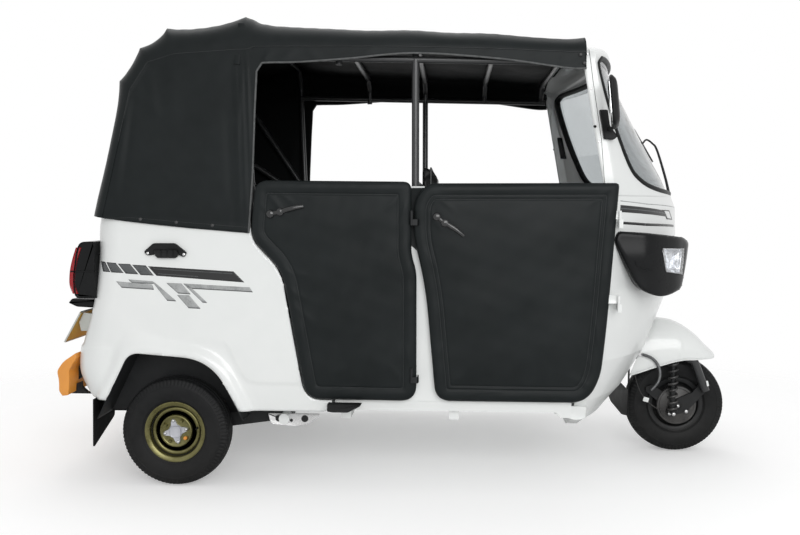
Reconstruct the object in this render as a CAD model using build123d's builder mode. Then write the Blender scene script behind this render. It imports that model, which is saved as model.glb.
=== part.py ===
"""Auto rickshaw: a three-wheeled passenger vehicle with a soft top and four padded half doors.

Millimetres. X runs forward, Y to the left and Z up from the ground. The origin lies on the
ground under the middle of the vehicle. Side outlines are drawn as (X, Z) pairs, where X is
measured from the rear axle (r), from the B pillar (b) or from the front axle (f).
"""
import math
import os

from build123d import *

os.makedirs("parts", exist_ok=True)

# ------------------------------------------------------------------ overall sizes
wheelbase = 1985
track = 1162
rear_overhang = 457          # rear axle to the back of the bumper
b_pillar_setback = 897       # rear axle to the B pillar
roof_height = 1740           # top of the tallest roof bow
body_half_width = 636        # rear body side
cab_half_width = 612         # cowl, pillars and windscreen frame
floor_top = 320
running_gap = 6              # clear space round a door or a lid
seat_gap = 0.3               # between a part and the one that it rests on

# ------------------------------------------------------------------ wheels
tyre_radius = 205
tyre_width = 104
tread_width = 84
bead_radius = 101
rim_lip_radius = 114
rim_width = 84
hub_radius = 46
spindle_radius = 17
spindle_play = 0.05

# ------------------------------------------------------------------ datums
rear_axle_x = (rear_overhang - tyre_radius - wheelbase) / 2
front_axle_x = rear_axle_x + wheelbase
b_pillar_x = rear_axle_x + b_pillar_setback
axle_height = tyre_radius


def r(x, z):
    """A side-view point measured from the rear axle."""
    return (rear_axle_x + x, z)


def b(x, z):
    """A side-view point measured from the B pillar."""
    return (b_pillar_x + x, z)


def f(x, z):
    """A side-view point measured from the front axle."""
    return (front_axle_x + x, z)


def side_plane(side, inner, outer):
    """The X-Z plane from which extruding outer - inner fills one side's slab."""
    return Plane.XZ.offset(inner if side < 0 else -outer)


SIDES = (("left", 1), ("right", -1))


def save(part, name):
    """Label a finished piece and write it."""
    part.label = name
    export_step(part, f"parts/{name}.step")


# ------------------------------------------------------------------ doors: outlines
door_thickness = 28
door_inner_y = cab_half_width + 8
door_outer_y = door_inner_y + door_thickness
hinge_radius = 5
door_hinge_y = door_outer_y + hinge_radius + 1
rear_door_front = -13        # front edge of the rear door, from the B pillar
front_door_back = 3          # rear edge of the front door, from the B pillar
front_door_front = -367      # front edge of the front door, from the front axle
door_top = 1128
door_bottom = 338

rear_door_outline = (        # point, corner radius
    (r(340, door_top), 18),
    (r(313, 1090), 25),
    (r(338, 952), 90),
    (r(424, 742), 200),
    (r(523, 400), 60),
    (r(568, 347), 45),
    (b(rear_door_front, door_bottom), 22),
    (b(rear_door_front, door_top), 14),
)
front_door_outline = (
    (b(50, door_top), 60),
    (b(front_door_back, 1096), 20),
    (b(13, 925), 60),
    (b(60, 563), 120),
    (b(84, door_bottom), 34),
    (f(-470, door_bottom), 70),
    (f(-417, 430), 60),
    (f(-397, 620), 90),
    (f(front_door_front, door_top), 14),
)

# Hinges: x, heights of the door's knuckles, reach of their leaves
rear_hinge = (b_pillar_x + rear_door_front + 2, (430, 1000), 30)
front_hinge = (front_axle_x + front_door_front + 4, (700, 1000), 60)

# Latches: knob, pivot and lever end
rear_latch = (b(-522, 1018), b(-486, 1025), b(-401, 1045))
front_latch = (b(79, 1008), b(108, 986), b(176, 940))


def outline_face(outline, gap=0.0):
    """Fill a closed outline of (point, corner radius) rows, grown by gap."""
    points = [point for point, _ in outline]
    radii = [radius for _, radius in outline]
    with BuildSketch(Plane.XY) as face:
        with BuildLine():
            FilletPolyline(*points, radius=radii, close=True)
        make_face()
        if gap:
            offset(amount=gap, kind=Kind.INTERSECTION)
    return face.sketch


def polygon(*points):
    """Fill a closed outline with sharp corners."""
    Polygon(*points, align=None)


# ------------------------------------------------------------------ rear body
rear_wall = 18
tub_top_overlap = 16         # how far the rear body stands up inside the canopy
arch_outline = (
    (r(-268, 285), 0),
    (r(-158, 508), 35),
    (r(150, 484), 110),
    (r(252, 285), 0),
)
arch_lip = 20
arch_lip_y = 655
housing_inner_y = 512        # inner end of the wheel housing
lid_bottom = 500
lid_top = 790
lid_half_width = 300
deck_height = 600
deck_thickness = 14
bulkhead_x = 360             # panel in front of the engine, from the rear axle


tub_levels = (               # height, rear face from the rear axle, half width
    (260, -290, 628),
    (345, -345, 633),
    (415, -377, 635),
    (500, -377, body_half_width),
    (633, -339, body_half_width),
    (849, -304, 631),
    (990, -300, 622),
    (1060, -286, 619),
)
tub_corner = 110
tub_front = 700


def tub_block(inset, open_up):
    """The rear body as a block; inset moves its walls in, open_up makes it taller."""
    with BuildPart() as block:
        for height, rear, half_width in tub_levels:
            x_rear = rear_axle_x + rear + inset
            x_front = rear_axle_x + tub_front
            w = half_width - inset
            with BuildSketch(Plane.XY.offset(height)) as level:
                Polygon((x_rear, -w), (x_front, -w), (x_front, w), (x_rear, w), align=None)
                fillet(level.vertices().group_by(Axis.X)[0], tub_corner - inset)
        loft(ruled=True)
        with BuildSketch(Plane.XZ):
            polygon(
                r(-500, 1014 + tub_top_overlap + open_up),
                r(-500, 329 - open_up),
                r(-255, 329 - open_up),
                r(231, 292 - open_up),
                r(562, 291 - open_up),
                r(592, 304 - open_up),
                r(592 + open_up, 420),
                r(330 + open_up, 949 + tub_top_overlap + open_up),
                r(107, 963 + tub_top_overlap + open_up),
                r(-79, 981 + tub_top_overlap + open_up),
                r(-230, 997 + tub_top_overlap + open_up),
            )
        extrude(amount=body_half_width + 50, both=True, mode=Mode.INTERSECT)
    return block.part


tub_outer = tub_block(0, 0)
tub_inner = tub_block(rear_wall, 90)
rear_door_hole = outline_face(rear_door_outline, running_gap)
arch_hole = outline_face(arch_outline)
arch_ring_outer = outline_face(arch_outline, arch_lip)

# Lid over the engine, hinged along its top edge
lid_thickness = 16
lid_hinge = r(-320, lid_top + 4)
lid_hinge_ys = (-200, 200)
lid_knuckle = 30


def lid_leaf(dx, dz):
    """A hinge knuckle with a leaf that reaches dx, dz from the hinge line."""
    x, z = lid_hinge
    with Locations(lid_hinge):
        Circle(hinge_radius)
    polygon((x - 3, z), (x + 3, z), (x + 3 + dx, z + dz), (x - 2 + dx, z + dz))


with BuildPart() as rear_body:
    add(tub_outer)
    add(tub_inner, mode=Mode.SUBTRACT)
    with BuildSketch(Plane.XZ):
        add(arch_ring_outer)
        Polygon(
            r(-400, 329), r(-400, 100), r(400, 100), r(400, 292), align=None, mode=Mode.SUBTRACT
        )
    extrude(amount=arch_lip_y, both=True)
    with BuildSketch(Plane.XZ):
        add(arch_ring_outer)
    extrude(amount=housing_inner_y, both=True, mode=Mode.SUBTRACT)
    with BuildSketch(Plane.XZ):
        add(arch_hole)
    extrude(amount=arch_lip_y + 10, both=True, mode=Mode.SUBTRACT)
    with BuildSketch(Plane.XZ):
        add(rear_door_hole)
    extrude(amount=arch_lip_y + 10, both=True, mode=Mode.SUBTRACT)
    with BuildSketch(Plane.YZ.offset(rear_axle_x - 400)):
        with Locations((0, (lid_bottom + lid_top) / 2)):
            RectangleRounded(
                2 * (lid_half_width + running_gap),
                lid_top - lid_bottom + 2 * running_gap,
                30 + running_gap,
            )
    extrude(amount=150, mode=Mode.SUBTRACT)
    for y in lid_hinge_ys:
        with BuildSketch(Plane.XZ.offset(y + lid_knuckle + seat_gap)):
            lid_leaf(10, 31)
        extrude(amount=lid_knuckle)
save(rear_body.part, "rear_body")

with BuildPart() as rear_bulkhead:
    with BuildSketch(Plane.XZ):
        polygon(
            r(bulkhead_x, floor_top + seat_gap),
            r(bulkhead_x + deck_thickness, floor_top + seat_gap),
            r(bulkhead_x + deck_thickness, deck_height + deck_thickness),
            r(-400, deck_height + deck_thickness),
            r(-400, deck_height),
            r(bulkhead_x, deck_height),
        )
    extrude(amount=body_half_width, both=True)
    add(tub_block(rear_wall + seat_gap, 20), mode=Mode.INTERSECT)
save(rear_bulkhead.part, "rear_bulkhead")

with BuildPart() as engine_lid:
    add(tub_outer)
    with BuildSketch(Plane.YZ.offset(rear_axle_x - 400)):
        with Locations((0, (lid_bottom + lid_top) / 2)):
            RectangleRounded(2 * lid_half_width, lid_top - lid_bottom, 30)
    extrude(amount=150, mode=Mode.INTERSECT)
    add(tub_block(lid_thickness, 90), mode=Mode.SUBTRACT)
    for y in lid_hinge_ys:
        with BuildSketch(Plane.XZ.offset(y)):
            lid_leaf(0, -32)
        extrude(amount=lid_knuckle)
save(engine_lid.part, "engine_lid")

# ------------------------------------------------------------------ floor and chassis
floor_thickness = 24
sill_thickness = 14
sill_top = 333
pillar_radius = 13.5
pillar_y = 596
cowl_back_low = -515         # rear edge of the cowl at floor level, from the front axle
tongue_half_width = 505
tongue_front = -465
floor_back = 282             # rear edge of the floor, from the rear axle
sill_back = 602              # rear end of the sills, from the rear axle
floor_half_width = cab_half_width - sill_thickness
with BuildPart() as floor_pan:
    with BuildSketch(Plane.XY.offset(floor_top - floor_thickness)):
        Polygon(
            (rear_axle_x + floor_back, -floor_half_width),
            (front_axle_x + cowl_back_low - 4, -floor_half_width),
            (front_axle_x + cowl_back_low - 4, -tongue_half_width),
            (front_axle_x + tongue_front, -tongue_half_width),
            (front_axle_x + tongue_front, tongue_half_width),
            (front_axle_x + cowl_back_low - 4, tongue_half_width),
            (front_axle_x + cowl_back_low - 4, floor_half_width),
            (rear_axle_x + floor_back, floor_half_width),
            align=None,
        )
    extrude(amount=floor_thickness)
    for side, sign in SIDES:
        with BuildSketch(side_plane(sign, floor_half_width, cab_half_width)):
            polygon(
                r(sill_back, floor_top - floor_thickness),
                r(sill_back, sill_top),
                f(cowl_back_low - 4, sill_top),
                f(cowl_back_low - 4, 276),
                f(-555, 276),
                f(-575, floor_top - floor_thickness),
            )
        extrude(amount=sill_thickness)
    with BuildSketch(Plane.XY.offset(floor_top)):
        with Locations((b_pillar_x, -pillar_y), (b_pillar_x, pillar_y)):
            Circle(pillar_radius + seat_gap)
    extrude(amount=50, mode=Mode.SUBTRACT)
save(floor_pan.part, "floor_pan")

rail_y = 260
rail_width = 40
rail_height = 58
rail_top = floor_top - floor_thickness
rail_front = -470
arm_pivot_x = 400            # trailing arm pivot, from the rear axle
arm_pivot_z = 245
cross_members = (            # station from the rear axle, half length
    (-300, 280),
    (-130, 280),
    (130, 280),
    (640, 590),
    (1040, 590),
    (1440, 480),
)
cross_size = 36
with BuildPart() as chassis_frame:
    with BuildSketch(Plane.XY.offset(rail_top - rail_height)):
        for sign in (-1, 1):
            with Locations(((rear_axle_x - 318 + front_axle_x + rail_front) / 2, sign * rail_y)):
                Rectangle(front_axle_x + rail_front - rear_axle_x + 318, rail_width)
    extrude(amount=rail_height)
    for station, half_length in cross_members:
        with BuildSketch(Plane.XY.offset(rail_top - cross_size)):
            with Locations((rear_axle_x + station, 0)):
                Rectangle(cross_size, 2 * half_length)
        extrude(amount=cross_size)
    with BuildSketch(Plane.XZ):
        with Locations(r(arm_pivot_x, arm_pivot_z)):
            Circle(20)
    extrude(amount=560, both=True)
save(chassis_frame.part, "chassis_frame")

# ------------------------------------------------------------------ cowl and windscreen frame
cowl_wall = 14
shoulder_length = 42         # straight stretch of the side before the nose arc
cowl_levels = (              # height, back, nose (both from the front axle), half width
    (212, -515, -373, 430),
    (262, -510, -313, 560),
    (340, -505, -235, 602),
    (486, -460, -143, cab_half_width),
    (706, -436, -60, cab_half_width),
    (930, -419, -27, cab_half_width),
    (1040, -414, -32, cab_half_width),
    (1086, -412, -50, cab_half_width),
)
frame_levels = (
    (1086.3, -412, -50, cab_half_width),
    (1150, -420, -86, cab_half_width),
    (1350, -456, -199, 606),
    (1560, -493, -317, 600),
    (1600, -482, -318, 596),
    (1636, -482, -317, 590),
    (1662, -482, -345, 560),
    (1682, -482, -400, 470),
)


def shell_solid(levels, inset, lift, drop):
    """Loft the U-shaped levels moved in by inset, its floor raised and its top dropped."""
    lowest = levels[0][0]
    highest = levels[-1][0]
    with BuildPart() as solid:
        for height, back, nose, half_width in levels:
            z = height
            if height == lowest:
                z = height + lift
            if height == highest:
                z = height - drop
            x_back = front_axle_x + back - max(0, 4 * inset)
            x_side = front_axle_x + back + shoulder_length
            x_nose = front_axle_x + nose - inset
            w = half_width - inset
            with BuildSketch(Plane.XY.offset(z)):
                with BuildLine():
                    Line((x_back, -w), (x_side, -w))
                    ThreePointArc((x_side, -w), (x_nose, 0), (x_side, w))
                    Line((x_side, w), (x_back, w))
                    Line((x_back, w), (x_back, -w))
                make_face()
        loft(ruled=True)
    return solid.part


knuckle_height = 30
hinge_leaf = 4


def hinge_bracket(side, hinge_x, heights, carrier_y):
    """Fixed hinge knuckles with legs back to their carrier, each below a door's knuckle."""
    with BuildPart() as bracket:
        for height in heights:
            with BuildSketch(Plane.XY.offset(height - knuckle_height - seat_gap)):
                with Locations((hinge_x, side * door_hinge_y)):
                    Circle(hinge_radius)
                with Locations((hinge_x + 5, side * door_hinge_y)):
                    Rectangle(10, 6)
                with Locations((hinge_x + 8, side * (door_hinge_y + 3 + carrier_y) / 2)):
                    Rectangle(hinge_leaf, door_hinge_y + 3 - carrier_y)
            extrude(amount=knuckle_height)
    return bracket.part


cowl_outer = shell_solid(cowl_levels, 0, 0, 0)
cowl_cavity = shell_solid(cowl_levels, cowl_wall, cowl_wall, -20)

# Steering axis: leans back, and passes behind the front axle
steer_tilt = 22
steer_origin = Vector(front_axle_x - 100, 0, 500)
steer_up = Vector(-math.sin(math.radians(steer_tilt)), 0, math.cos(math.radians(steer_tilt)))
steer_plane = Plane(origin=steer_origin, x_dir=(0, -1, 0), z_dir=steer_up)
well_radius = 226
well_wall = 5
well_top = 130               # along the axis, above its origin
column_radius = 20
column_play = 0.05
head_tube_radius = 30
head_tube_top = 350

with BuildPart() as wheel_well:
    with BuildSketch(steer_plane.offset(-420)):
        Circle(well_radius)
    extrude(amount=420 + well_top)

with BuildPart() as well_shell:
    with BuildSketch(steer_plane.offset(-420)):
        Circle(well_radius + well_wall)
    extrude(amount=420 + well_top + well_wall)
    add(cowl_outer, mode=Mode.INTERSECT)
    add(wheel_well.part, mode=Mode.SUBTRACT)
    with BuildSketch(steer_plane.offset(well_top - 10)):
        Circle(head_tube_radius - 1)
    extrude(amount=30, mode=Mode.SUBTRACT)

with BuildPart() as front_cowl:
    add(cowl_outer)
    add(cowl_cavity, mode=Mode.SUBTRACT)
    add(wheel_well.part, mode=Mode.SUBTRACT)
    add(well_shell.part)
    for side_name, side in SIDES:
        add(hinge_bracket(side, front_hinge[0], front_hinge[1], 580))
save(front_cowl.part, "front_cowl")

toe_gap = 0.5
with BuildPart() as toe_board:
    with BuildSketch(Plane.XZ):
        polygon(
            f(tongue_front + seat_gap, floor_top - floor_thickness),
            f(tongue_front + seat_gap, floor_top),
            f(-361, 528),
            f(-343, 528),
            f(tongue_front + 30, floor_top - floor_thickness),
        )
    extrude(amount=cab_half_width, both=True)
    add(shell_solid(cowl_levels, cowl_wall + toe_gap, cowl_wall, -20), mode=Mode.INTERSECT)
    with BuildSketch(steer_plane.offset(-420)):
        Circle(well_radius + well_wall + toe_gap)
    extrude(amount=420 + well_top + well_wall + toe_gap, mode=Mode.SUBTRACT)
save(toe_board.part, "toe_board")

# Steering head: a tube through the roof of the wheel well, held by a beam from the floor
with BuildPart() as steering_head:
    with BuildSketch(Plane.XZ):
        polygon(
            f(tongue_front - 55, floor_top + seat_gap),
            f(tongue_front - 2, floor_top + seat_gap),
            f(-376, 536),
            f(-371, 547),
            f(-235, 745),
            f(-250, 800),
            f(-395, 620),
        )
    extrude(amount=22, both=True)
    with BuildSketch(steer_plane.offset(well_top + well_wall + seat_gap)):
        Circle(head_tube_radius)
    extrude(amount=head_tube_top - well_top - well_wall)
    with BuildSketch(steer_plane.offset(well_top - 50)):
        Circle(column_radius + column_play)
    extrude(amount=head_tube_top + 100, mode=Mode.SUBTRACT)
save(steering_head.part, "steering_head")

# Windscreen frame: pillars, header dome and the opening for the glass
frame_wall = 16
screen_bottom = 1104
screen_top = 1584
screen_outline = (           # across and height, corner radius, right half then left half
    ((-520, screen_bottom), 75),
    ((-575, screen_top), 62),
    ((575, screen_top), 62),
    ((520, screen_bottom), 75),
)
glass_thickness = 5
glass_inset = 4
frame_outer = shell_solid(frame_levels, 0, 0, 0)


def screen_hole(gap):
    """A prism through the windscreen opening, made smaller all round by gap."""
    with BuildPart() as hole:
        with BuildSketch(Plane.YZ.offset(front_axle_x - 470)):
            add(outline_face(screen_outline, -gap))
        extrude(amount=600)
    return hole.part


with BuildPart() as windscreen_frame:
    add(frame_outer)
    add(shell_solid(frame_levels, frame_wall, -20, frame_wall), mode=Mode.SUBTRACT)
    add(screen_hole(0), mode=Mode.SUBTRACT)
save(windscreen_frame.part, "windscreen_frame")

with BuildPart() as windscreen_glass:
    add(shell_solid(frame_levels, glass_inset, -20, glass_inset))
    add(shell_solid(frame_levels, glass_inset + glass_thickness, -30, 9), mode=Mode.SUBTRACT)
    add(screen_hole(seat_gap), mode=Mode.INTERSECT)
    with BuildSketch(Plane.XY.offset(1000)):
        with Locations((front_axle_x - 600, 0)):
            Rectangle(300, 1400)
    extrude(amount=800, mode=Mode.SUBTRACT)
save(windscreen_glass.part, "windscreen_glass")

# Dashboard: a shelf under the windscreen
dash_top = 1084
dash_depth = 26
with BuildPart() as dashboard:
    add(shell_solid(cowl_levels, cowl_wall + seat_gap, cowl_wall, 2))
    with BuildSketch(Plane.XZ):
        polygon(
            f(-270, dash_top - 50),
            f(-245, dash_top),
            f(0, dash_top),
            f(0, dash_top - dash_depth),
            f(-225, dash_top - dash_depth),
        )
    extrude(amount=cab_half_width, both=True, mode=Mode.INTERSECT)
save(dashboard.part, "dashboard")

# ------------------------------------------------------------------ roof frame
tube_radius = 12
rail_roof_z_back = 1588
rail_roof_z_front = 1556
canopy_sheet = 6
canopy_levels = (            # station from the rear axle, top height, half width
    (-312, 1000, 631),
    (-204, 1510, 631),
    (-123, 1631, 631),
    (-22, 1702, 631),
    (273, roof_height, 631),
    (395, 1704, 631),
    (650, 1686, 630),
    (950, 1678, 628),
    (1200, 1662, 624),
    (1500, 1648, 620),
)
canopy_plan = (              # height, rear face from the rear axle
    (900, -320),
    (1021, -308),
    (1510, -204),
    (1640, -118),
    (1800, 60),
)
canopy_rear_corner = 105
canopy_corner = 60
canopy_floor = 900


def roof_tube(points, bend, radius):
    """Sweep a round tube along straight runs joined by bends."""
    with BuildPart() as tube:
        with BuildLine() as path:
            if len(points) == 2:
                Line(*points)
            else:
                FilletPolyline(*points, radius=bend)
        with BuildSketch(Plane(origin=path.line @ 0, z_dir=path.line % 0)):
            Circle(radius)
        sweep()
    return tube.part


bows = (                     # foot station and height, top station and height, half width, drop
    (297, 1050, 273, roof_height, 609, 1.0),
    (300, 1120, -20, 1702, 600, 3.4),
    (300, 1080, -176, 1512, 560, 6.0),
)
bow_foot_y = 588
partition_heights = (860, 1130)
with BuildPart() as roof_frame:
    for sign in (-1, 1):
        foot = rear_axle_x + 300
        base = deck_height + deck_thickness + seat_gap
        with BuildSketch(Plane.XY.offset(base)):
            with Locations((foot, sign * bow_foot_y)):
                Circle(tube_radius)
        extrude(amount=1060 - base)
    for foot_x, foot_z, top_x, top_z, y, drop in bows:
        x0 = rear_axle_x + foot_x
        x1 = rear_axle_x + top_x
        z = top_z - canopy_sheet - drop - tube_radius
        add(
            roof_tube(
                (
                    (x0, -bow_foot_y, foot_z),
                    (x1, -y, z - 90),
                    (x1, -y + 60, z),
                    (x1, y - 60, z),
                    (x1, y, z - 90),
                    (x0, bow_foot_y, foot_z),
                ),
                40,
                tube_radius,
            )
        )
    for station, top_z in ((620, 1688), (897, 1679), (1190, 1662), (1465, 1649)):
        x1 = rear_axle_x + station
        z = top_z - canopy_sheet - 1 - tube_radius
        add(
            roof_tube(
                (
                    (x1, -pillar_y, rail_roof_z_front),
                    (x1, -pillar_y + 8, z - 50),
                    (x1, -pillar_y + 70, z),
                    (x1, pillar_y - 70, z),
                    (x1, pillar_y - 8, z - 50),
                    (x1, pillar_y, rail_roof_z_front),
                ),
                30,
                tube_radius,
            )
        )
    for sign in (-1, 1):
        x_back = rear_axle_x + 276
        x_front = front_axle_x - 497
        add(
            roof_tube(
                (
                    (x_back, sign * pillar_y, rail_roof_z_back),
                    (x_front, sign * pillar_y, rail_roof_z_front),
                ),
                0,
                tube_radius,
            )
        )
        with BuildSketch(Plane.XY.offset(floor_top + seat_gap)):
            with Locations((b_pillar_x, sign * pillar_y)):
                Circle(pillar_radius)
        extrude(amount=1572 - floor_top)
    for height in partition_heights:
        with BuildSketch(Plane.XZ):
            with Locations((b_pillar_x, height)):
                Circle(tube_radius)
        extrude(amount=pillar_y, both=True)
    with BuildSketch(Plane.XY.offset(partition_heights[0])):
        with Locations((b_pillar_x, -180), (b_pillar_x, 180)):
            Circle(tube_radius - 2)
    extrude(amount=partition_heights[1] - partition_heights[0])
save(roof_frame.part, "roof_frame")


def canopy_solid(inset, drop):
    """Cross the canopy's arched stations with its rounded plan, moved in by inset."""
    with BuildPart() as arched:
        for station, top, half_width in canopy_levels:
            x = rear_axle_x + station
            if station == canopy_levels[0][0]:
                x += inset
            if station == canopy_levels[-1][0]:
                x += 5 * inset
            w = half_width - inset
            with BuildSketch(Plane.YZ.offset(x)) as level:
                Polygon(
                    (-w, canopy_floor - drop),
                    (-w, top - inset),
                    (w, top - inset),
                    (w, canopy_floor - drop),
                    align=None,
                )
                fillet(level.vertices().group_by(Axis.Y)[-1], canopy_corner)
        loft(ruled=True)
    with BuildPart() as rounded:
        for height, rear in canopy_plan:
            x = rear_axle_x + rear + inset
            w = 660
            with BuildSketch(Plane.XY.offset(height)) as level:
                Polygon(
                    (x, -w + inset + 29),
                    (x + 2600, -w + inset + 29),
                    (x + 2600, w - inset - 29),
                    (x, w - inset - 29),
                    align=None,
                )
                fillet(level.vertices().group_by(Axis.X)[0], canopy_rear_corner - inset)
        loft(ruled=True)
        add(arched.part, mode=Mode.INTERSECT)
    return rounded.part


with BuildPart() as roof_canopy:
    add(canopy_solid(0, 0))
    add(canopy_solid(canopy_sheet, 50), mode=Mode.SUBTRACT)
    with BuildSketch(Plane.XZ):
        add(rear_door_hole)
    extrude(amount=700, both=True, mode=Mode.SUBTRACT)
    with BuildSketch(Plane.XZ):
        polygon(
            r(-500, 1030),
            r(-285, 1018),
            r(-79, 984),
            r(107, 966),
            r(322, 950),
            r(322, 1530),
            r(350, 1561),
            r(842, 1588),
            r(1127, 1575),
            r(1520, 1524),
            r(1700, 1500),
            r(1700, 700),
            r(-500, 700),
        )
    extrude(amount=700, both=True, mode=Mode.SUBTRACT)
save(roof_canopy.part, "roof_canopy")

# ------------------------------------------------------------------ seats
seat_half_width = 570
with BuildPart() as rear_seat_cushion:
    with BuildSketch(Plane.XZ):
        with BuildLine():
            FilletPolyline(
                r(430, deck_height + deck_thickness + seat_gap),
                r(430, 745),
                r(30, 725),
                r(30, deck_height + deck_thickness + seat_gap),
                radius=30,
                close=True,
            )
        make_face()
    extrude(amount=seat_half_width, both=True)
save(rear_seat_cushion.part, "rear_seat_cushion")

with BuildPart() as rear_seat_back:
    with BuildSketch(Plane.XZ):
        with BuildLine():
            FilletPolyline(
                r(26, deck_height + deck_thickness + seat_gap),
                r(-60, 1165),
                r(-150, 1150),
                r(-64, deck_height + deck_thickness + seat_gap),
                radius=25,
                close=True,
            )
        make_face()
    extrude(amount=seat_half_width, both=True)
save(rear_seat_back.part, "rear_seat_back")

seat_box_top = 610
with BuildPart() as driver_seat_box:
    with BuildSketch(Plane.XY.offset(floor_top + seat_gap)):
        with Locations((b_pillar_x + 215, 0)):
            RectangleRounded(340, 620, 25)
    extrude(amount=seat_box_top - floor_top - seat_gap)
save(driver_seat_box.part, "driver_seat_box")

with BuildPart() as driver_seat_cushion:
    with BuildSketch(Plane.XY.offset(seat_box_top + seat_gap)):
        with Locations((b_pillar_x + 225, 0)):
            RectangleRounded(380, 660, 50)
    extrude(amount=110)
    fillet(driver_seat_cushion.faces().sort_by(Axis.Z)[-1].edges(), 25)
save(driver_seat_cushion.part, "driver_seat_cushion")

with BuildPart() as driver_back_pad:
    with BuildSketch(Plane.XY.offset(partition_heights[0] + 20)):
        with Locations((b_pillar_x + tube_radius + seat_gap + 30, 0)):
            RectangleRounded(60, 500, 25)
    extrude(amount=330)
    fillet(driver_back_pad.faces().sort_by(Axis.Z)[-1].edges(), 24)
save(driver_back_pad.part, "driver_back_pad")

# ------------------------------------------------------------------ engine and drive
with BuildPart() as engine_block:
    with BuildSketch(Plane.XY.offset(rail_top + seat_gap)):
        with Locations((rear_axle_x - 50, 0)):
            RectangleRounded(400, 420, 30)
    extrude(amount=250)
    with BuildSketch(Plane.XY.offset(165)):
        with Locations((rear_axle_x, 0)):
            RectangleRounded(190, 210, 30)
    extrude(amount=rail_top + 10 - 165)
save(engine_block.part, "engine_block")

with BuildPart() as silencer:
    with BuildSketch(Plane.XZ):
        with Locations(r(-265, 215)):
            Ellipse(52, 38)
    extrude(amount=205, both=True)
    with BuildSketch(Plane.XY.offset(232)):
        with Locations((rear_axle_x - 225, 120)):
            Circle(16)
    extrude(amount=rail_top - 232)
save(silencer.part, "silencer")

hub_carrier_y = 470
carrier_length = 50
wheel_y = track / 2
drum_radius = 90
drum_end_y = wheel_y - rim_width / 2 - running_gap
with BuildPart() as trailing_arms:
    for side, sign in SIDES:
        plane = side_plane(sign, hub_carrier_y - carrier_length / 2, hub_carrier_y + carrier_length / 2)
        with BuildSketch(plane):
            polygon(
                r(arm_pivot_x + 22, arm_pivot_z + 26),
                r(arm_pivot_x + 22, arm_pivot_z - 26),
                r(arm_pivot_x - 40, 224),
                r(190, 200),
                r(40, 160),
                r(-45, 165),
                r(-45, 245),
                r(190, 268),
            )
            with Locations(r(arm_pivot_x, arm_pivot_z)):
                Circle(20 + seat_gap, mode=Mode.SUBTRACT)
        extrude(amount=carrier_length)
        with BuildSketch(side_plane(sign, hub_carrier_y, drum_end_y)):
            with Locations(r(0, axle_height)):
                Circle(drum_radius)
        extrude(amount=drum_end_y - hub_carrier_y)
    with BuildSketch(Plane.XZ):
        with Locations(r(0, axle_height)):
            Circle(spindle_radius + spindle_play)
    extrude(amount=track, both=True, mode=Mode.SUBTRACT)
save(trailing_arms.part, "trailing_arms")

with BuildPart() as rear_dampers:
    for sign in (-1, 1):
        y = sign * hub_carrier_y
        with BuildSketch(Plane.XY.offset(267)):
            with Locations((rear_axle_x + 140, y)):
                Circle(32)
        extrude(amount=deck_height - 267 - seat_gap)
save(rear_dampers.part, "rear_dampers")

with BuildPart() as drive_shafts:
    for side, sign in SIDES:
        inner = 105 + seat_gap
        outer = hub_carrier_y - carrier_length / 2 - seat_gap
        with BuildSketch(side_plane(sign, inner, outer)):
            with Locations(r(0, axle_height)):
                Circle(14)
        extrude(amount=outer - inner)
save(drive_shafts.part, "drive_shafts")

# ------------------------------------------------------------------ bumper, lamps, plate, flaps
bumper_half_length = 600
with BuildPart() as rear_bumper:
    with BuildSketch(Plane.XZ):
        polygon(
            r(-380, 496),
            r(-432, 461),
            r(-rear_overhang, 426),
            r(-449, 388),
            r(-450, 350),
            r(-438, 331),
            r(-424, 331),
            r(-434, 352),
            r(-433, 388),
            r(-440, 420),
            r(-420, 450),
            r(-382, 476),
        )
    extrude(amount=bumper_half_length, both=True)
    for y in (-500, 500):
        with BuildSketch(Plane.XZ.offset(y - 15)):
            polygon(r(-438, 424), r(-435, 348), r(-377.3, 420), r(-377.3, 470))
        extrude(amount=30)
save(rear_bumper.part, "rear_bumper")

with BuildPart() as tail_lamps:
    for side, sign in SIDES:
        with BuildSketch(side_plane(sign, 478, 604)):
            polygon(
                r(-300, 915),
                r(-356, 915),
                r(-376, 874),
                r(-394, 787),
                r(-392, 729),
                r(-370, 703),
                r(-300, 703),
            )
        extrude(amount=126)
        fillet(tail_lamps.edges().filter_by(Axis.Y).sort_by(Axis.X)[:1], 6)
    add(tub_block(-seat_gap, 0), mode=Mode.SUBTRACT)
save(tail_lamps.part, "tail_lamps")

plate_width = 200
plate_outer_y = 530
with BuildPart() as number_plate:
    with BuildSketch(Plane.XZ.offset(plate_outer_y - plate_width)):
        polygon(r(-392, 642), r(-457, 527), r(-453, 525), r(-388, 640))
    extrude(amount=plate_width)
    for y in (plate_outer_y - 22, plate_outer_y - plate_width + 18):
        with BuildSketch(Plane.XZ.offset(y)):
            polygon(r(-389, 641), r(-453, 527), r(-398, 553), r(-330, 560), r(-330, 640))
        extrude(amount=4)
    with BuildSketch(Plane.XZ.offset(plate_outer_y - 130)):
        polygon(r(-442, 676), r(-426, 694), r(-330, 690), r(-330, 656), r(-407, 660))
    extrude(amount=60)
    add(tub_block(-seat_gap, 0), mode=Mode.SUBTRACT)
save(number_plate.part, "number_plate")

flap_thickness = 5
flap_outer_y = 640
flap_width = 200
with BuildPart() as rear_mud_flaps:
    for sign in (-1, 1):
        y0 = sign * flap_outer_y
        y1 = sign * (flap_outer_y - flap_width)
        with BuildSketch(Plane.YZ.offset(rear_axle_x - 303)):
            polygon((y0, 328.7), (y1, 328.7), (y1, 222), (y0, 146))
        extrude(amount=flap_thickness)
save(rear_mud_flaps.part, "rear_mud_flaps")

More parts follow.
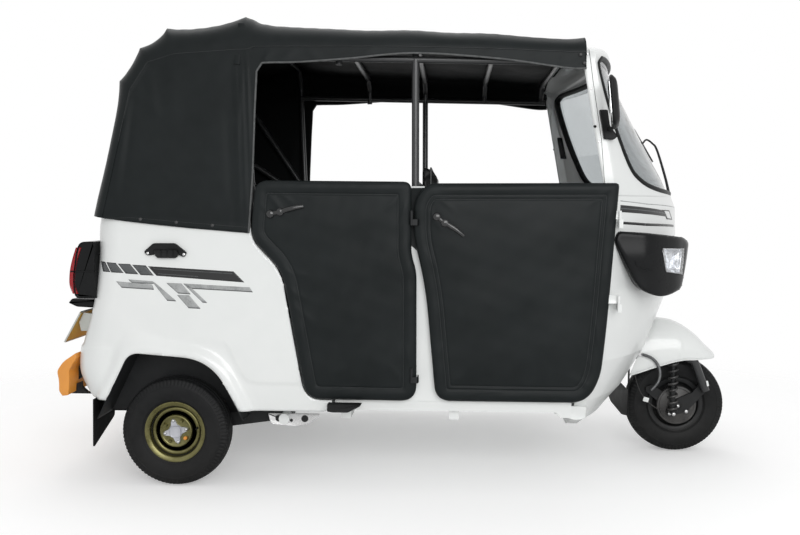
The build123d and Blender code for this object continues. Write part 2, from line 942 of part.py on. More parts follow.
front_flap_half = 226
front_flap_tab = 18          # width of the tabs that reach up to the cowl
with BuildPart() as front_mud_flap:
    with BuildSketch(Plane.YZ.offset(front_axle_x - 236)):
        with BuildLine():
            FilletPolyline(
                (-front_flap_half, 420),
                (-front_flap_half, 196),
                (-120, 176),
                (120, 176),
                (front_flap_half, 196),
                (front_flap_half, 420),
                (front_flap_half - front_flap_tab, 420),
                (front_flap_half - front_flap_tab, 296),
                (front_flap_tab - front_flap_half, 296),
                (front_flap_tab - front_flap_half, 420),
                radius=8,
                close=True,
            )
        make_face()
    extrude(amount=flap_thickness)
    add(shell_solid(cowl_levels, -seat_gap, 0, 0), mode=Mode.SUBTRACT)
save(front_mud_flap.part, "front_mud_flap")

with BuildPart() as door_steps:
    for side, sign in SIDES:
        with BuildSketch(side_plane(sign, cab_half_width + seat_gap, cab_half_width + 24)):
            polygon(r(606, 330), r(606, 322), r(645, 312), r(735, 318), r(760, 331))
        extrude(amount=24 - seat_gap)
save(door_steps.part, "door_steps")

# Headlamps: housings that stand out of the cowl at its two corners
with BuildPart() as headlamp_blank:
    with BuildSketch(Plane.XY.offset(700)):
        with BuildLine():
            Polyline(
                (front_axle_x - 362, -cab_half_width + 30),
                (front_axle_x - 362, -cab_half_width - 2),
                (front_axle_x - 240, -cab_half_width + 4),
                (front_axle_x - 110, -500),
                (front_axle_x - 62, -420),
                (front_axle_x - 48, -345),
                (front_axle_x - 120, -330),
                close=True,
            )
        make_face()
    extrude(amount=260)
    with BuildSketch(Plane.XZ):
        polygon(
            f(-362, 915),
            f(-345, 948),
            f(-85, 925),
            f(-40, 905),
            f(-66, 836),
            f(-96, 735),
            f(-190, 713),
            f(-270, 745),
            f(-345, 880),
        )
    extrude(amount=700, both=True, mode=Mode.INTERSECT)
    add(shell_solid(cowl_levels, -seat_gap, 0, 0), mode=Mode.SUBTRACT)
headlamp_right = headlamp_blank.part.solids().sort_by(SortBy.VOLUME)[-1]
with BuildPart() as headlamps:
    add(headlamp_right)
    mirror(about=Plane.XZ)
save(headlamps.part, "headlamps")

# Wiper: a spindle below the glass, an arm that stands off it and a blade
wiper_height = 1097          # spindle
wiper_bar = 5                # half width of the arm
with BuildPart() as wiper:
    with BuildSketch(Plane.YZ.offset(front_axle_x - 75)):
        with Locations((0, wiper_height)):
            Circle(9)
    extrude(amount=43)
    with BuildSketch(Plane.XZ):
        polygon(
            f(-42, wiper_height - 4),
            f(-32, wiper_height),
            f(-88, 1283),
            f(-132, 1330),
            f(-158, 1300),
            f(-151, 1294),
            f(-131, 1319),
            f(-97, 1280),
        )
        polygon(f(-120, 1205), f(-96, 1201), f(-216, 1396), f(-225, 1391))
    extrude(amount=wiper_bar, both=True)
    add(shell_solid(frame_levels, -seat_gap, 0, 0), mode=Mode.SUBTRACT)
save(wiper.part, "wiper")

# Mirrors: a bracket block on each windscreen pillar, an arm and a flat pod across the vehicle
mirror_y = 705
mirror_half_width = 66
mirror_arm_radius = 6
with BuildPart() as mirrors:
    with BuildSketch(Plane.XZ.offset(cab_half_width - 60)):
        polygon(f(-436, 1386), f(-408, 1386), f(-371, 1293), f(-384, 1281), f(-418, 1284))
    extrude(amount=60 + 6)
    add(frame_outer, mode=Mode.SUBTRACT)
    with BuildSketch(Plane.XZ.offset(mirror_y - mirror_half_width)):
        polygon(f(-430, 1495), f(-411, 1495), f(-386, 1410), f(-384, 1325), f(-405, 1310))
    extrude(amount=2 * mirror_half_width)
    with BuildSketch(Plane.XZ.offset(cab_half_width)):
        with Locations(f(-400, 1322)):
            Circle(mirror_arm_radius)
    extrude(amount=mirror_y - cab_half_width)
    mirror(about=Plane.XZ)
save(mirrors.part, "mirrors")

# ------------------------------------------------------------------ doors
latch_radius = 9
latch_stand_off = 12
lever_half_width = 5


def half_door(side, outline, hinge, latch):
    """A padded half door: hinge is x, heights and reach; latch is knob, pivot and lever end."""
    hinge_x, hinge_heights, hinge_reach = hinge
    knob, pivot, lever_end = latch
    with BuildPart() as door:
        with BuildSketch(side_plane(side, door_inner_y, door_outer_y)):
            add(outline_face(outline))
        extrude(amount=door_thickness)
        for height in hinge_heights:
            with BuildSketch(Plane.XY.offset(height)):
                with Locations((hinge_x, side * door_hinge_y)):
                    Circle(hinge_radius)
                with Locations((hinge_x - hinge_reach / 2, side * (door_outer_y + 2))):
                    Rectangle(hinge_reach, hinge_leaf)
            extrude(amount=knuckle_height)
        with BuildSketch(side_plane(side, door_outer_y, door_outer_y + latch_stand_off)):
            with Locations(knob, pivot):
                Circle(latch_radius)
        extrude(amount=latch_stand_off)
        lever_y = door_outer_y + latch_stand_off - 5
        with BuildSketch(side_plane(side, lever_y, lever_y + 8)):
            with BuildLine() as lever_line:
                Line(pivot, lever_end)
            trace(lever_line.line, line_width=2 * lever_half_width)
        extrude(amount=8)
    return door.part


for side_name, side in SIDES:
    rear_door = half_door(side, rear_door_outline, rear_hinge, rear_latch)
    save(rear_door, f"rear_door_{side_name}")
    front_door = half_door(side, front_door_outline, front_hinge, front_latch)
    save(front_door, f"front_door_{side_name}")

# Posts behind the gap between the doors, with the rear doors' fixed hinge knuckles
post_inner_y = pillar_y + pillar_radius + seat_gap
post_thickness = 5
with BuildPart() as door_posts:
    for side_name, side in SIDES:
        with BuildSketch(side_plane(side, post_inner_y, post_inner_y + post_thickness)):
            polygon(
                b(-45, sill_top + seat_gap),
                b(-30, 1118),
                b(34, 1118),
                b(48, 930),
                b(98, 563),
                b(120, sill_top + seat_gap),
            )
        extrude(amount=post_thickness)
        add(hinge_bracket(side, rear_hinge[0], rear_hinge[1], post_inner_y + 1))
save(door_posts.part, "door_posts")

# ------------------------------------------------------------------ wheels


def tyre_at(x, y):
    """A tyre as a closed ring, crowned across its tread."""
    half = tyre_width / 2
    with BuildPart() as tyre:
        with BuildSketch(Plane.YZ.offset(x)):
            with BuildLine():
                ThreePointArc(
                    (y - tread_width / 2, axle_height + tyre_radius - 6),
                    (y, axle_height + tyre_radius),
                    (y + tread_width / 2, axle_height + tyre_radius - 6),
                )
                Polyline(
                    (y + tread_width / 2, axle_height + tyre_radius - 6),
                    (y + half, axle_height + 168),
                    (y + half, axle_height + 140),
                    (y + rim_width / 2 - 3, axle_height + rim_lip_radius + 2),
                    (y + rim_width / 2 - 3, axle_height + bead_radius + seat_gap),
                    (y - rim_width / 2 + 3, axle_height + bead_radius + seat_gap),
                    (y - rim_width / 2 + 3, axle_height + rim_lip_radius + 2),
                    (y - half, axle_height + 140),
                    (y - half, axle_height + 168),
                    (y - tread_width / 2, axle_height + tyre_radius - 6),
                )
            make_face()
        revolve(axis=Axis((x, y, axle_height), (0, 1, 0)))
    return tyre.part


def rim_at(x, y, out, spindle_end):
    """A pressed rim with a stepped disc; out is the sign of its outer side."""
    half = rim_width / 2
    with BuildPart() as rim:
        with BuildSketch(Plane.YZ.offset(x)):
            polygon(
                (y - out * half, axle_height + rim_lip_radius),
                (y - out * half, axle_height + bead_radius - 4),
                (y + out * (half - 44), axle_height + bead_radius - 4),
                (y + out * (half - 44), axle_height + 84),
                (y + out * (half - 28), axle_height + 80),
                (y + out * (half - 28), axle_height + 60),
                (y + out * (half - 18), axle_height + 56),
                (y + out * (half - 18), axle_height),
                (y + out * (half - 12), axle_height),
                (y + out * (half - 12), axle_height + 60),
                (y + out * (half - 22), axle_height + 64),
                (y + out * (half - 22), axle_height + 84),
                (y + out * (half - 38), axle_height + 88),
                (y + out * (half - 38), axle_height + bead_radius - 4),
                (y + out * half, axle_height + bead_radius - 4),
                (y + out * half, axle_height + rim_lip_radius),
                (y + out * (half - 3), axle_height + rim_lip_radius),
                (y + out * (half - 3), axle_height + bead_radius),
                (y - out * (half - 3), axle_height + bead_radius),
                (y - out * (half - 3), axle_height + rim_lip_radius),
            )
        revolve(axis=Axis((x, y, axle_height), (0, 1, 0)))
        with BuildSketch(Plane.XZ.offset(-y - out * (half - 14))):
            with Locations((x, axle_height)):
                Circle(hub_radius)
        extrude(amount=out * (half - 14 + 40))
        with BuildSketch(Plane.XZ.offset(-y)):
            with Locations((x, axle_height)):
                Circle(spindle_radius)
        extrude(amount=out * spindle_end)
    return rim.part


link_inner_y = 62
link_outer_y = 78
for side_name, side in SIDES:
    save(tyre_at(rear_axle_x, side * wheel_y), f"rear_tyre_{side_name}")
    rear_rim = rim_at(rear_axle_x, side * wheel_y, side, wheel_y - hub_carrier_y + 25)
    save(rear_rim, f"rear_rim_{side_name}")

save(tyre_at(front_axle_x, 0), "front_tyre")
front_rim = rim_at(front_axle_x, 0, 1, link_outer_y + 1)
save(front_rim, "front_rim")

# ------------------------------------------------------------------ steering
fork_y = -100
fork_radius = 17
link_pivot = f(108, 288)
bar_half_length = 320
bar_sweep = 80
bar_rise = 30
bar_radius = 12
bar_height = head_tube_top + 60


def on_steer_plane(across, forward, up):
    """A point across, forward and up from the steering axis."""
    return steer_plane.from_local_coords((across, forward, up))


with BuildPart() as steering_stem:
    with BuildSketch(steer_plane.offset(-60)):
        Circle(column_radius)
    extrude(amount=bar_height + 60)
    add(
        roof_tube(
            (
                on_steer_plane(0, 0, -42),
                on_steer_plane(45, 10, -52),
                (front_axle_x - 20, fork_y, 440),
                (front_axle_x + 60, fork_y, 400),
                (link_pivot[0], fork_y, link_pivot[1] - 12),
            ),
            24,
            fork_radius,
        )
    )
save(steering_stem.part, "steering_stem")

with BuildPart() as handlebar:
    add(
        roof_tube(
            (
                on_steer_plane(-bar_half_length, -bar_sweep, bar_height + bar_rise),
                on_steer_plane(-110, -20, bar_height + bar_radius + seat_gap),
                on_steer_plane(110, -20, bar_height + bar_radius + seat_gap),
                on_steer_plane(bar_half_length, -bar_sweep, bar_height + bar_rise),
            ),
            60,
            bar_radius,
        )
    )
save(handlebar.part, "handlebar")

# Trailing link with its brake plate, pivot pin and spring seat
plate_inner_y = rim_width / 2 + 2
plate_radius = 82
pin_radius = 9
spring_foot = f(-27, 180)
with BuildPart() as front_link:
    with BuildSketch(Plane.XZ.offset(link_inner_y)):
        polygon(
            f(122, 300),
            f(124, 276),
            f(36, 178),
            f(-40, 160),
            f(-46, 184),
            f(-24, 226),
            f(60, 262),
            f(96, 306),
        )
    extrude(amount=link_outer_y - link_inner_y)
    with BuildSketch(Plane.XZ.offset(plate_inner_y)):
        with Locations(f(0, axle_height)):
            Circle(plate_radius)
    extrude(amount=link_inner_y - plate_inner_y)
    with BuildSketch(Plane.XZ.offset(rim_width / 2 + 12)):
        polygon(f(-40, 250), f(-104, 290), f(-128, 282), f(-128, 262), f(-60, 205))
    extrude(amount=6)
    with BuildSketch(Plane.XZ.offset(link_inner_y)):
        with Locations(spring_foot):
            Circle(pin_radius - 2)
    extrude(amount=-fork_y + 22 - link_inner_y)
    with BuildSketch(Plane.XZ.offset(link_inner_y)):
        with Locations(link_pivot):
            Circle(pin_radius)
    extrude(amount=-fork_y - fork_radius - seat_gap - link_inner_y)
    with BuildSketch(Plane.XZ):
        with Locations(f(0, axle_height)):
            Circle(spindle_radius + spindle_play)
    extrude(amount=track, both=True, mode=Mode.SUBTRACT)
save(front_link.part, "front_link")

spring_radius = 22
spring_y = -102
spring_base = spring_foot[1] + pin_radius - 2 + seat_gap
spring_top = 414.3
with BuildPart() as front_damper:
    with BuildSketch(Plane.XY.offset(spring_base)):
        with Locations((spring_foot[0], spring_y)):
            Circle(spring_radius)
    extrude(amount=spring_top - spring_base)
save(front_damper.part, "front_damper")

# Front mudguard: a hood over the wheel that steers with it
guard_half_width = 130
guard_sheet = 3
guard_outline = (            # point, corner radius
    (f(-213, 340), 0),
    (f(-118, 568), 10),
    (f(-85, 573), 30),
    (f(0, 558), 90),
    (f(66, 514), 120),
    (f(120, 452), 60),
    (f(142, 421), 0),
    (f(-7, 407), 60),
)
with BuildPart() as front_mudguard:
    with BuildSketch(Plane.XZ):
        add(outline_face(guard_outline))
    extrude(amount=guard_half_width, both=True)
    with BuildSketch(Plane.XZ):
        add(outline_face(guard_outline, -guard_sheet))
        polygon(f(-205, 346), f(-7, 412), f(134, 425), f(120, 360), f(-7, 360), f(-190, 300))
    extrude(amount=guard_half_width - guard_sheet, both=True, mode=Mode.SUBTRACT)
    with BuildSketch(steer_plane.offset(-60)):
        Circle(column_radius + seat_gap)
    extrude(amount=200, mode=Mode.SUBTRACT)
save(front_mudguard.part, "front_mudguard")


def smooth_route(points, radius, name):
    """Sweep a round hose along its points, each corner with the largest arc its runs allow."""
    corners = [Vector(*point) for point in points]
    radii = []
    for before, here, after in zip(corners, corners[1:], corners[2:]):
        half_turn = math.radians((here - before).get_angle(after - here)) / 2
        run = min((here - before).length, (after - here).length)
        radii.append(0.45 * run / math.tan(half_turn))
    hose = roof_tube(corners, radii, radius)
    length = hose.volume / (math.pi * radius**2)
    print(name, "length", round(length, 1), "radii", [round(value, 1) for value in radii])
    return hose


# Brake hose: leaves a gland on the mudguard and bends down to the brake plate
hose_radius = 7
hose_points = (
    (front_axle_x - 168, -guard_half_width - hose_radius - seat_gap, 434),
    (front_axle_x - 132, -guard_half_width - 12, 427),
    (front_axle_x - 100, -guard_half_width - 11, 396),
    (front_axle_x - 86, -guard_half_width - 4, 352),
    (front_axle_x - 92, -guard_half_width + 12, 308),
    (front_axle_x - 114, -guard_half_width + 34, 276),
)
brake_hose = smooth_route(hose_points, hose_radius, "brake_hose")
save(brake_hose, "brake_hose")

# Thin cable from under the mudguard to the foot of the brake plate
cable_radius = 2
cable_points = (
    (front_axle_x - 190, -118, 352),
    (front_axle_x - 180, -112, 310),
    (front_axle_x - 160, -104, 264),
    (front_axle_x - 126, -94, 222),
    (front_axle_x - 82, -86, 190),
    (front_axle_x - 42, -80, 172),
)
wheel_cable = smooth_route(cable_points, cable_radius, "wheel_cable")
save(wheel_cable, "wheel_cable")
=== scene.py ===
# %% [markdown]
# # Auto rickshaw
# A three-wheeled taxi: a painted steel tub and cowl, a soft canopy laced over bows, four padded
# half doors, a hooded front wheel that steers, and two driven wheels at the back. The packed
# model gives the exact sizes. This lesson builds the surfaces that the eye sees round it, each
# one as a grid of points worked out from a few measured lines.

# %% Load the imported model
import math

import bmesh
import bpy
import numpy as np
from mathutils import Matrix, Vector


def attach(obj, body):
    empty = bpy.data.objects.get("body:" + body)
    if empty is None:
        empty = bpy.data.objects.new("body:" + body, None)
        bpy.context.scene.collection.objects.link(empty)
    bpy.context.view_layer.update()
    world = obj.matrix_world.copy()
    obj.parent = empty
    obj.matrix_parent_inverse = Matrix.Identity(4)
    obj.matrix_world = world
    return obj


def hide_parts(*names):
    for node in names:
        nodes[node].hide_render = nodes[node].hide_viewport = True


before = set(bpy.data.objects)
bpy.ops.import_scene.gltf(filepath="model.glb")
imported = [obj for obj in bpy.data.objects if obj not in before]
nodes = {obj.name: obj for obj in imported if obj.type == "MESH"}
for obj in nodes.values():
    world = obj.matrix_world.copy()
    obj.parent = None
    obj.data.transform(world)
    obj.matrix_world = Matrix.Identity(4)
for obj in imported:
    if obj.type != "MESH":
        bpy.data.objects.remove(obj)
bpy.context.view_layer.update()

# %% [markdown]
# ## Measuring lines
# Side views are written in millimetres from one of three stations: the rear axle, the B pillar
# or the front axle, because those are what a body maker measures from. One helper turns such a
# list into metres along and up.

# %% Stations
REAR, PILLAR, FRONT = -0.8665, 0.0305, 1.1185
AXLE_Z = 0.205
WHEEL_Y = 0.581


def line(station, *points):
    """Side-view points: (along, up) in millimetres become (station + along, up) in metres."""
    return np.array(points, float) / 1000 + (station, 0)


print("wheelbase", round(FRONT - REAR, 4))

# %% [markdown]
# ## Three ways to make a curve
# Sheet metal and fabric lines need different curves. Straight runs with rounded corners suit
# cut panels. A curve that passes smoothly through measured points suits pressed panels. Even
# spacing along either keeps the faces of a grid alike.


# %% Curve helpers
def rounded(points, radii, steps=6):
    """Round a closed outline's corners. Each corner P is swapped for the curve
    (1-s)^2 A + 2s(1-s) P + s^2 B, where A and B lie a corner radius away along its two edges."""
    p = np.asarray(points, float)
    size = np.broadcast_to(np.asarray(radii, float), (len(p),))[:, None]
    to_last, to_next = np.roll(p, 1, 0) - p, np.roll(p, -1, 0) - p
    a = p + to_last / np.linalg.norm(to_last, axis=1, keepdims=True) * size
    b = p + to_next / np.linalg.norm(to_next, axis=1, keepdims=True) * size
    s = np.linspace(0, 1, steps)[None, :, None]
    bent = (1 - s) ** 2 * a[:, None] + 2 * s * (1 - s) * p[:, None] + s**2 * b[:, None]
    return bent.reshape(-1, p.shape[1])


def smooth(x, xs, ys):
    """A cubic through the knots (xs, ys), read at x. Slopes come from each knot's neighbours,
    and each span blends its two ends with h = 3s^2 - 2s^3 and the two tangent terms."""
    x, xs, ys = np.asarray(x, float), np.asarray(xs, float), np.asarray(ys, float)
    slope = np.gradient(ys, xs)
    i = np.clip(np.searchsorted(xs, x, side="right") - 1, 0, len(xs) - 2)
    run = xs[i + 1] - xs[i]
    s = np.clip((x - xs[i]) / run, 0, 1)
    h = s * s * (3 - 2 * s)
    return (
        ys[i] * (1 - h)
        + ys[i + 1] * h
        + run * (s * (1 - s) ** 2 * slope[i] - s * s * (1 - s) * slope[i + 1])
    )


def smooth_through(points, count):
    """A smooth curve of count points through a few, each span taking the same share."""
    p = np.asarray(points, float)
    t = np.linspace(0, len(p) - 1, count)
    return np.stack([smooth(t, np.arange(len(p)), p[:, k]) for k in range(p.shape[1])], axis=1)


def evenly(points, count=None, step=None, closed=False):
    """Points spaced evenly along a polyline: each coordinate is read against the running
    length."""
    p = np.asarray(points, float)
    if closed:
        p = np.concatenate([p, p[:1]])
    run = np.concatenate([[0], np.cumsum(np.linalg.norm(np.diff(p, axis=0), axis=1))])
    if count is None:
        count = max(3, int(round(run[-1] / step)) + 1)
    at = np.linspace(0, run[-1], count, endpoint=not closed)
    return np.stack([np.interp(at, run, p[:, k]) for k in range(p.shape[1])], axis=1)


print("corner test", rounded([(0, 0), (1, 0), (1, 1)], 0.2, 3).shape)

# %% [markdown]
# ## Shapes as arrays
# A shape here is an array of points and a list of face arrays. A grid of points needs only
# index arithmetic for its faces. Tubes and turned parts are grids that close on themselves, and
# a cut panel is an outline carried through its thickness with rounded rims.


# %% Grids, and putting shapes together
def grid(points, close_rows=False, close_columns=False):
    """Quads over an array of points (rows, columns, 3): face (i, j) joins i, i+1 and j, j+1."""
    rows, columns = points.shape[:2]
    index = np.arange(rows * columns).reshape(rows, columns)
    if close_rows:
        index = np.concatenate([index, index[:1]], axis=0)
    if close_columns:
        index = np.concatenate([index, index[:, :1]], axis=1)
    quads = np.stack([index[:-1, :-1], index[1:, :-1], index[1:, 1:], index[:-1, 1:]], axis=-1)
    return points.reshape(-1, 3), [quads.reshape(-1, 4)]


def join(*shapes):
    """Put several shapes' points one after another, and shift each one's faces to match."""
    points, faces, start = [], [], 0
    for p, f in shapes:
        points.append(np.asarray(p, float))
        faces += [np.asarray(part) + start for part in f]
        start += len(p)
    return np.concatenate(points), faces


def capped(points, faces, count):
    """Close the first and last rows of a grid, each of count points, with one face."""
    last = np.arange(len(points) - count, len(points))
    return points, faces + [np.arange(count)[None, ::-1], last[None]]


def transform(shape, scale=(1, 1, 1), shift=(0, 0, 0), order=(0, 1, 2)):
    """A shape with its axes put in another order, then scaled and shifted."""
    return shape[0][:, order] * scale + shift, shape[1]


# %% Tubes and turned shapes
def unit(v):
    """Each vector divided by its length."""
    return v / np.maximum(np.linalg.norm(v, axis=-1, keepdims=True), 1e-12)


def heading(path, across, closed=False):
    """Unit directions at each path point: along it, and across it, which is the given
    direction less its part along the path."""
    if closed:
        along = unit(np.roll(path, -1, 0) - np.roll(path, 1, 0))
    else:
        along = unit(np.gradient(path, axis=0))
    across = np.broadcast_to(np.asarray(across, float), path.shape)
    return along, unit(across - along * (across * along).sum(1, keepdims=True))


def tube(path, radius, sides=14, reference=(0, 0, 1), flat=1.0):
    """A closed tube: circle points radius*(n cos a + b sin a) at each path point, with n the
    reference squared up to the path and b across both. flat squeezes it along b."""
    path = np.asarray(path, float)
    along = unit(np.gradient(path, axis=0))
    n = np.asarray(reference, float) - along * (along @ np.asarray(reference, float))[:, None]
    n = unit(n)
    b = np.cross(along, n) * flat
    a = np.linspace(0, 2 * np.pi, sides, endpoint=False)[None, :, None]
    r = np.broadcast_to(np.asarray(radius, float), (len(path),))[:, None, None]
    rings = path[:, None] + r * (n[:, None] * np.cos(a) + b[:, None] * np.sin(a))
    return capped(*grid(rings, close_columns=True), sides)


def turned(profile, centre, turns=96, closed=False):
    """Turn a profile of (across, radius) rows about the axle line through centre: each point
    becomes (x + r sin a, y + across, z + r cos a)."""
    profile = np.asarray(profile, float)
    a = np.linspace(0, 2 * np.pi, turns, endpoint=False)[None]
    radius = np.broadcast_to(profile[:, 1:2], (len(profile), turns))
    across = np.broadcast_to(profile[:, :1], radius.shape)
    points = np.stack(
        [centre[0] + radius * np.sin(a), centre[1] + across, centre[2] + radius * np.cos(a)], -1
    )
    shape = grid(points, close_rows=closed, close_columns=True)
    return shape if closed else capped(*shape, turns)


# %% Cut panels
def place(plane, a, b, c):
    """Local (a, b, c) to the row frame: side views are (x, z) and then y, end views (y, z) and
    then x, plans (x, y) and then z."""
    a, b, c = np.broadcast_arrays(a, b, c)
    order = {"side": (a, c, b), "end": (c, a, b), "plan": (a, b, c)}[plane]
    return np.stack(order, axis=-1)


def shrink(outline, by):
    """Move a closed outline inwards: each point goes along the mean of its two edge normals,
    further at sharp corners so that the edges keep their distance."""
    edge = unit(np.roll(outline, -1, 0) - outline)
    before = np.roll(edge, 1, 0)
    turn = np.sign((outline[:, 0] * np.roll(outline[:, 1], -1)
                    - np.roll(outline[:, 0], -1) * outline[:, 1]).sum())
    inward = turn * np.stack([-edge[:, 1] - before[:, 1], edge[:, 0] + before[:, 0]], axis=1) / 2
    return outline + by * inward / np.maximum((inward**2).sum(1, keepdims=True), 0.35)


def slab(plane, outline, low, high, rim=0.002, steps=4):
    """An outline carried from low to high, its rims rounded: ring k is shrunk by
    rim(1 - sin t) and sits rim(1 - cos t) inside the face."""
    outline = np.asarray(outline, float)
    t = np.linspace(0, np.pi / 2, steps)
    inset = np.concatenate([rim * (1 - np.sin(t)), rim * (1 - np.sin(t[::-1]))])
    depth = np.concatenate([low + rim * (1 - np.cos(t)), high - rim * (1 - np.cos(t[::-1]))])
    rings = np.stack([shrink(outline, value) for value in inset])
    points = place(plane, rings[..., 0], rings[..., 1], depth[:, None])
    return capped(*grid(points, close_columns=True), len(outline))


def strip(path, section, across, closed=False):
    """Carry a closed section along a path: each section row (s, t) adds s times the given
    across direction and t times the direction square to it and to the path."""
    path = np.asarray(path, float)
    along, across = heading(path, across, closed)
    up = np.cross(along, across)
    section = np.asarray(section, float)
    rings = (path[:, None] + section[None, :, :1] * across[:, None]
             + section[None, :, 1:] * up[:, None])
    shape = grid(rings, close_rows=closed, close_columns=True)
    return shape if closed else capped(*shape, len(section))


def box_section(width, height, rim=0.001):
    """A rounded rectangle as a section for strip(): (across, up) rows about its middle."""
    w, h = width / 2, height / 2
    return rounded([(-w, -h), (w, -h), (w, h), (-w, h)], rim, 3)


print("slab test", slab("side", rounded([(0, 0), (1, 0), (1, 1)], 0.2), 0, 0.1)[0].shape)

# %% [markdown]
# ## Cutting a hole in a grid
# A panel's grid lines rarely run along its door edge or wheel arch. The distance of each point
# from the edge tells which side it is on. Points close to the edge are slid onto it, and faces
# beyond it are dropped, so that the cut is as clean as the outline.


# %% Distance from an outline, and trimming by it
def edge_distance(points, outline):
    """Distance from each point to a closed outline, and the nearest point of it. A point is
    inside where a ray from it crosses the outline an odd number of times, and then the
    distance is negative."""
    p = np.asarray(points, float)[:, None]
    a, b = outline[None], np.roll(outline, -1, 0)[None]
    edge = b - a
    s = np.clip(((p - a) * edge).sum(-1) / np.maximum((edge**2).sum(-1), 1e-18), 0, 1)
    near = a + s[..., None] * edge
    gap = np.linalg.norm(p - near, axis=-1)
    best = gap.argmin(1)
    rows = np.arange(len(best))
    straddles = (a[..., 1] > p[..., 1]) != (b[..., 1] > p[..., 1])
    rise = np.where(edge[..., 1] == 0, 1e-18, edge[..., 1])
    crossing = a[..., 0] + (p[..., 1] - a[..., 1]) / rise * edge[..., 0]
    inside = (straddles & (p[..., 0] < crossing)).sum(1) % 2 == 1
    return np.where(inside, -gap[rows, best], gap[rows, best]), near[rows, best]


SLIDE_SHARE = 0.72


def trimmed(flat, quads, outline, cell, keep_outside=True):
    """Trim a flat grid: points nearer than 0.72 of a cell slide onto the outline, then only
    faces whose middles are on the kept side, with no point beyond it, stay."""
    sign = 1 if keep_outside else -1
    distance, near = edge_distance(flat, outline)
    close = np.abs(distance) < SLIDE_SHARE * cell
    flat = np.where(close[:, None], near, flat)
    kept = sign * np.where(close, 0, distance)
    middle = flat[quads].mean(1)
    side, _ = edge_distance(middle, outline)
    good = (kept[quads] >= 0).all(1) & (sign * side > 0)
    return flat, quads[good]


def flat_grid(rows, columns):
    """The quads of a grid of that many rows and columns."""
    return grid(np.zeros((rows, columns, 3)))[1][0]


def used_only(points, faces):
    """Drop the points that no face uses, and renumber the faces."""
    used, inverse = np.unique(np.concatenate([f.ravel() for f in faces]), return_inverse=True)
    parts = np.split(inverse, np.cumsum([f.size for f in faces])[:-1])
    return points[used], [part.reshape(f.shape) for part, f in zip(parts, faces)]


square = np.array([(0, 0), (1, 0), (1, 1), (0, 1)], float)
print("distance test", edge_distance(np.array([[0.5, 0.4], [2, 0.5]]), square)[0])

# %% [markdown]
# ## Making a piece
# Every shape becomes one object at the origin, with its place in its points, so that patterns
# on object coordinates stay put. The piece rides on a body of the imported model, takes one of
# the finishes made below, and may stand for imported nodes, which are then hidden.


# %% Piece maker
def piece(name, shape, body, material, replaces=(), crease=40, wall=0.0, outward=True,
          lining=None, offset=-1.0):
    """Make an object from a shape. Edges sharper than crease degrees stay sharp. wall gives a
    sheet its thickness, on its inner side when offset is -1."""
    points, faces = shape
    mesh = bpy.data.meshes.new(name)
    mesh.from_pydata(points.tolist(), [], [row for part in faces for row in part.tolist()])
    mesh.validate()
    if outward:
        face_outwards(mesh)
    mesh.shade_smooth()
    mesh.set_sharp_from_angle(angle=math.radians(crease))
    mesh.materials.append(material)
    if lining is not None:
        mesh.materials.append(lining)
    thing = bpy.data.objects.new(name, mesh)
    bpy.context.scene.collection.objects.link(thing)
    if wall:
        solid = thing.modifiers.new("wall", "SOLIDIFY")
        solid.thickness = wall
        solid.offset = offset
        solid.use_even_offset = False
        if lining is not None:
            solid.material_offset = 1
    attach(thing, body)
    if replaces:
        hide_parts(*replaces)
    return thing


def face_outwards(mesh):
    """Turn every face of a mesh outwards."""
    work = bmesh.new()
    work.from_mesh(mesh)
    bmesh.ops.remove_doubles(work, verts=work.verts, dist=1e-6)
    bmesh.ops.recalc_face_normals(work, faces=work.faces)
    work.to_mesh(mesh)
    work.free()


SIDES = (("left", 1), ("right", -1))
# %% [markdown]
# ## Camera
# A long lens held at the height of the doors keeps the side nearly flat, as a catalogue view
# does. Its place was worked out from the wheels, the roof and the bumper.

# %% Place the camera
LENS, SENSOR = 38.83, 36
TILT_DOWN, TURN_LEFT = 3.927, 3.366
studio = bpy.context.scene
camera = bpy.data.objects.new("camera", bpy.data.cameras.new("camera"))
studio.collection.objects.link(camera)
camera.location = (0.1592, -3.7397, 1.0386)
camera.rotation_euler = (math.radians(90 - TILT_DOWN), 0, math.radians(TURN_LEFT))
camera.data.lens = LENS
camera.data.sensor_width = SENSOR
studio.camera = camera
print("camera at", tuple(round(v, 3) for v in camera.location))

# %% [markdown]
# ## Shader nodes
# Every material below is a few nodes and their links. One helper adds a node and fills its
# inputs: a socket is linked, and anything else is set as a plain value.


# %% Node helpers
def feed(tree, target, inputs):
    """Fill a node's inputs by name or number: link the sockets, set the rest."""
    for label, value in inputs.items():
        if isinstance(value, bpy.types.NodeSocket):
            tree.links.new(value, target.inputs[label])
        else:
            target.inputs[label].default_value = value


def node(tree, kind, inputs=None, **settings):
    """Add a shader node with its settings and inputs."""
    made = tree.nodes.new("ShaderNode" + kind)
    for label, value in settings.items():
        setattr(made, label, value)
    feed(tree, made, inputs or {})
    return made


def math_node(tree, operation, *terms):
    """One Math node over its terms, and its result."""
    return node(tree, "Math", dict(enumerate(terms)), operation=operation).outputs[0]


# %% [markdown]
# ## Floor and light
# White paint and black vinyl side by side need soft light from all round, or the paint burns
# out before the vinyl shows its folds. The world gives the even part, one wide lamp on the
# viewer's side gives the panels their gradients, and a second one over the roof draws the edges.

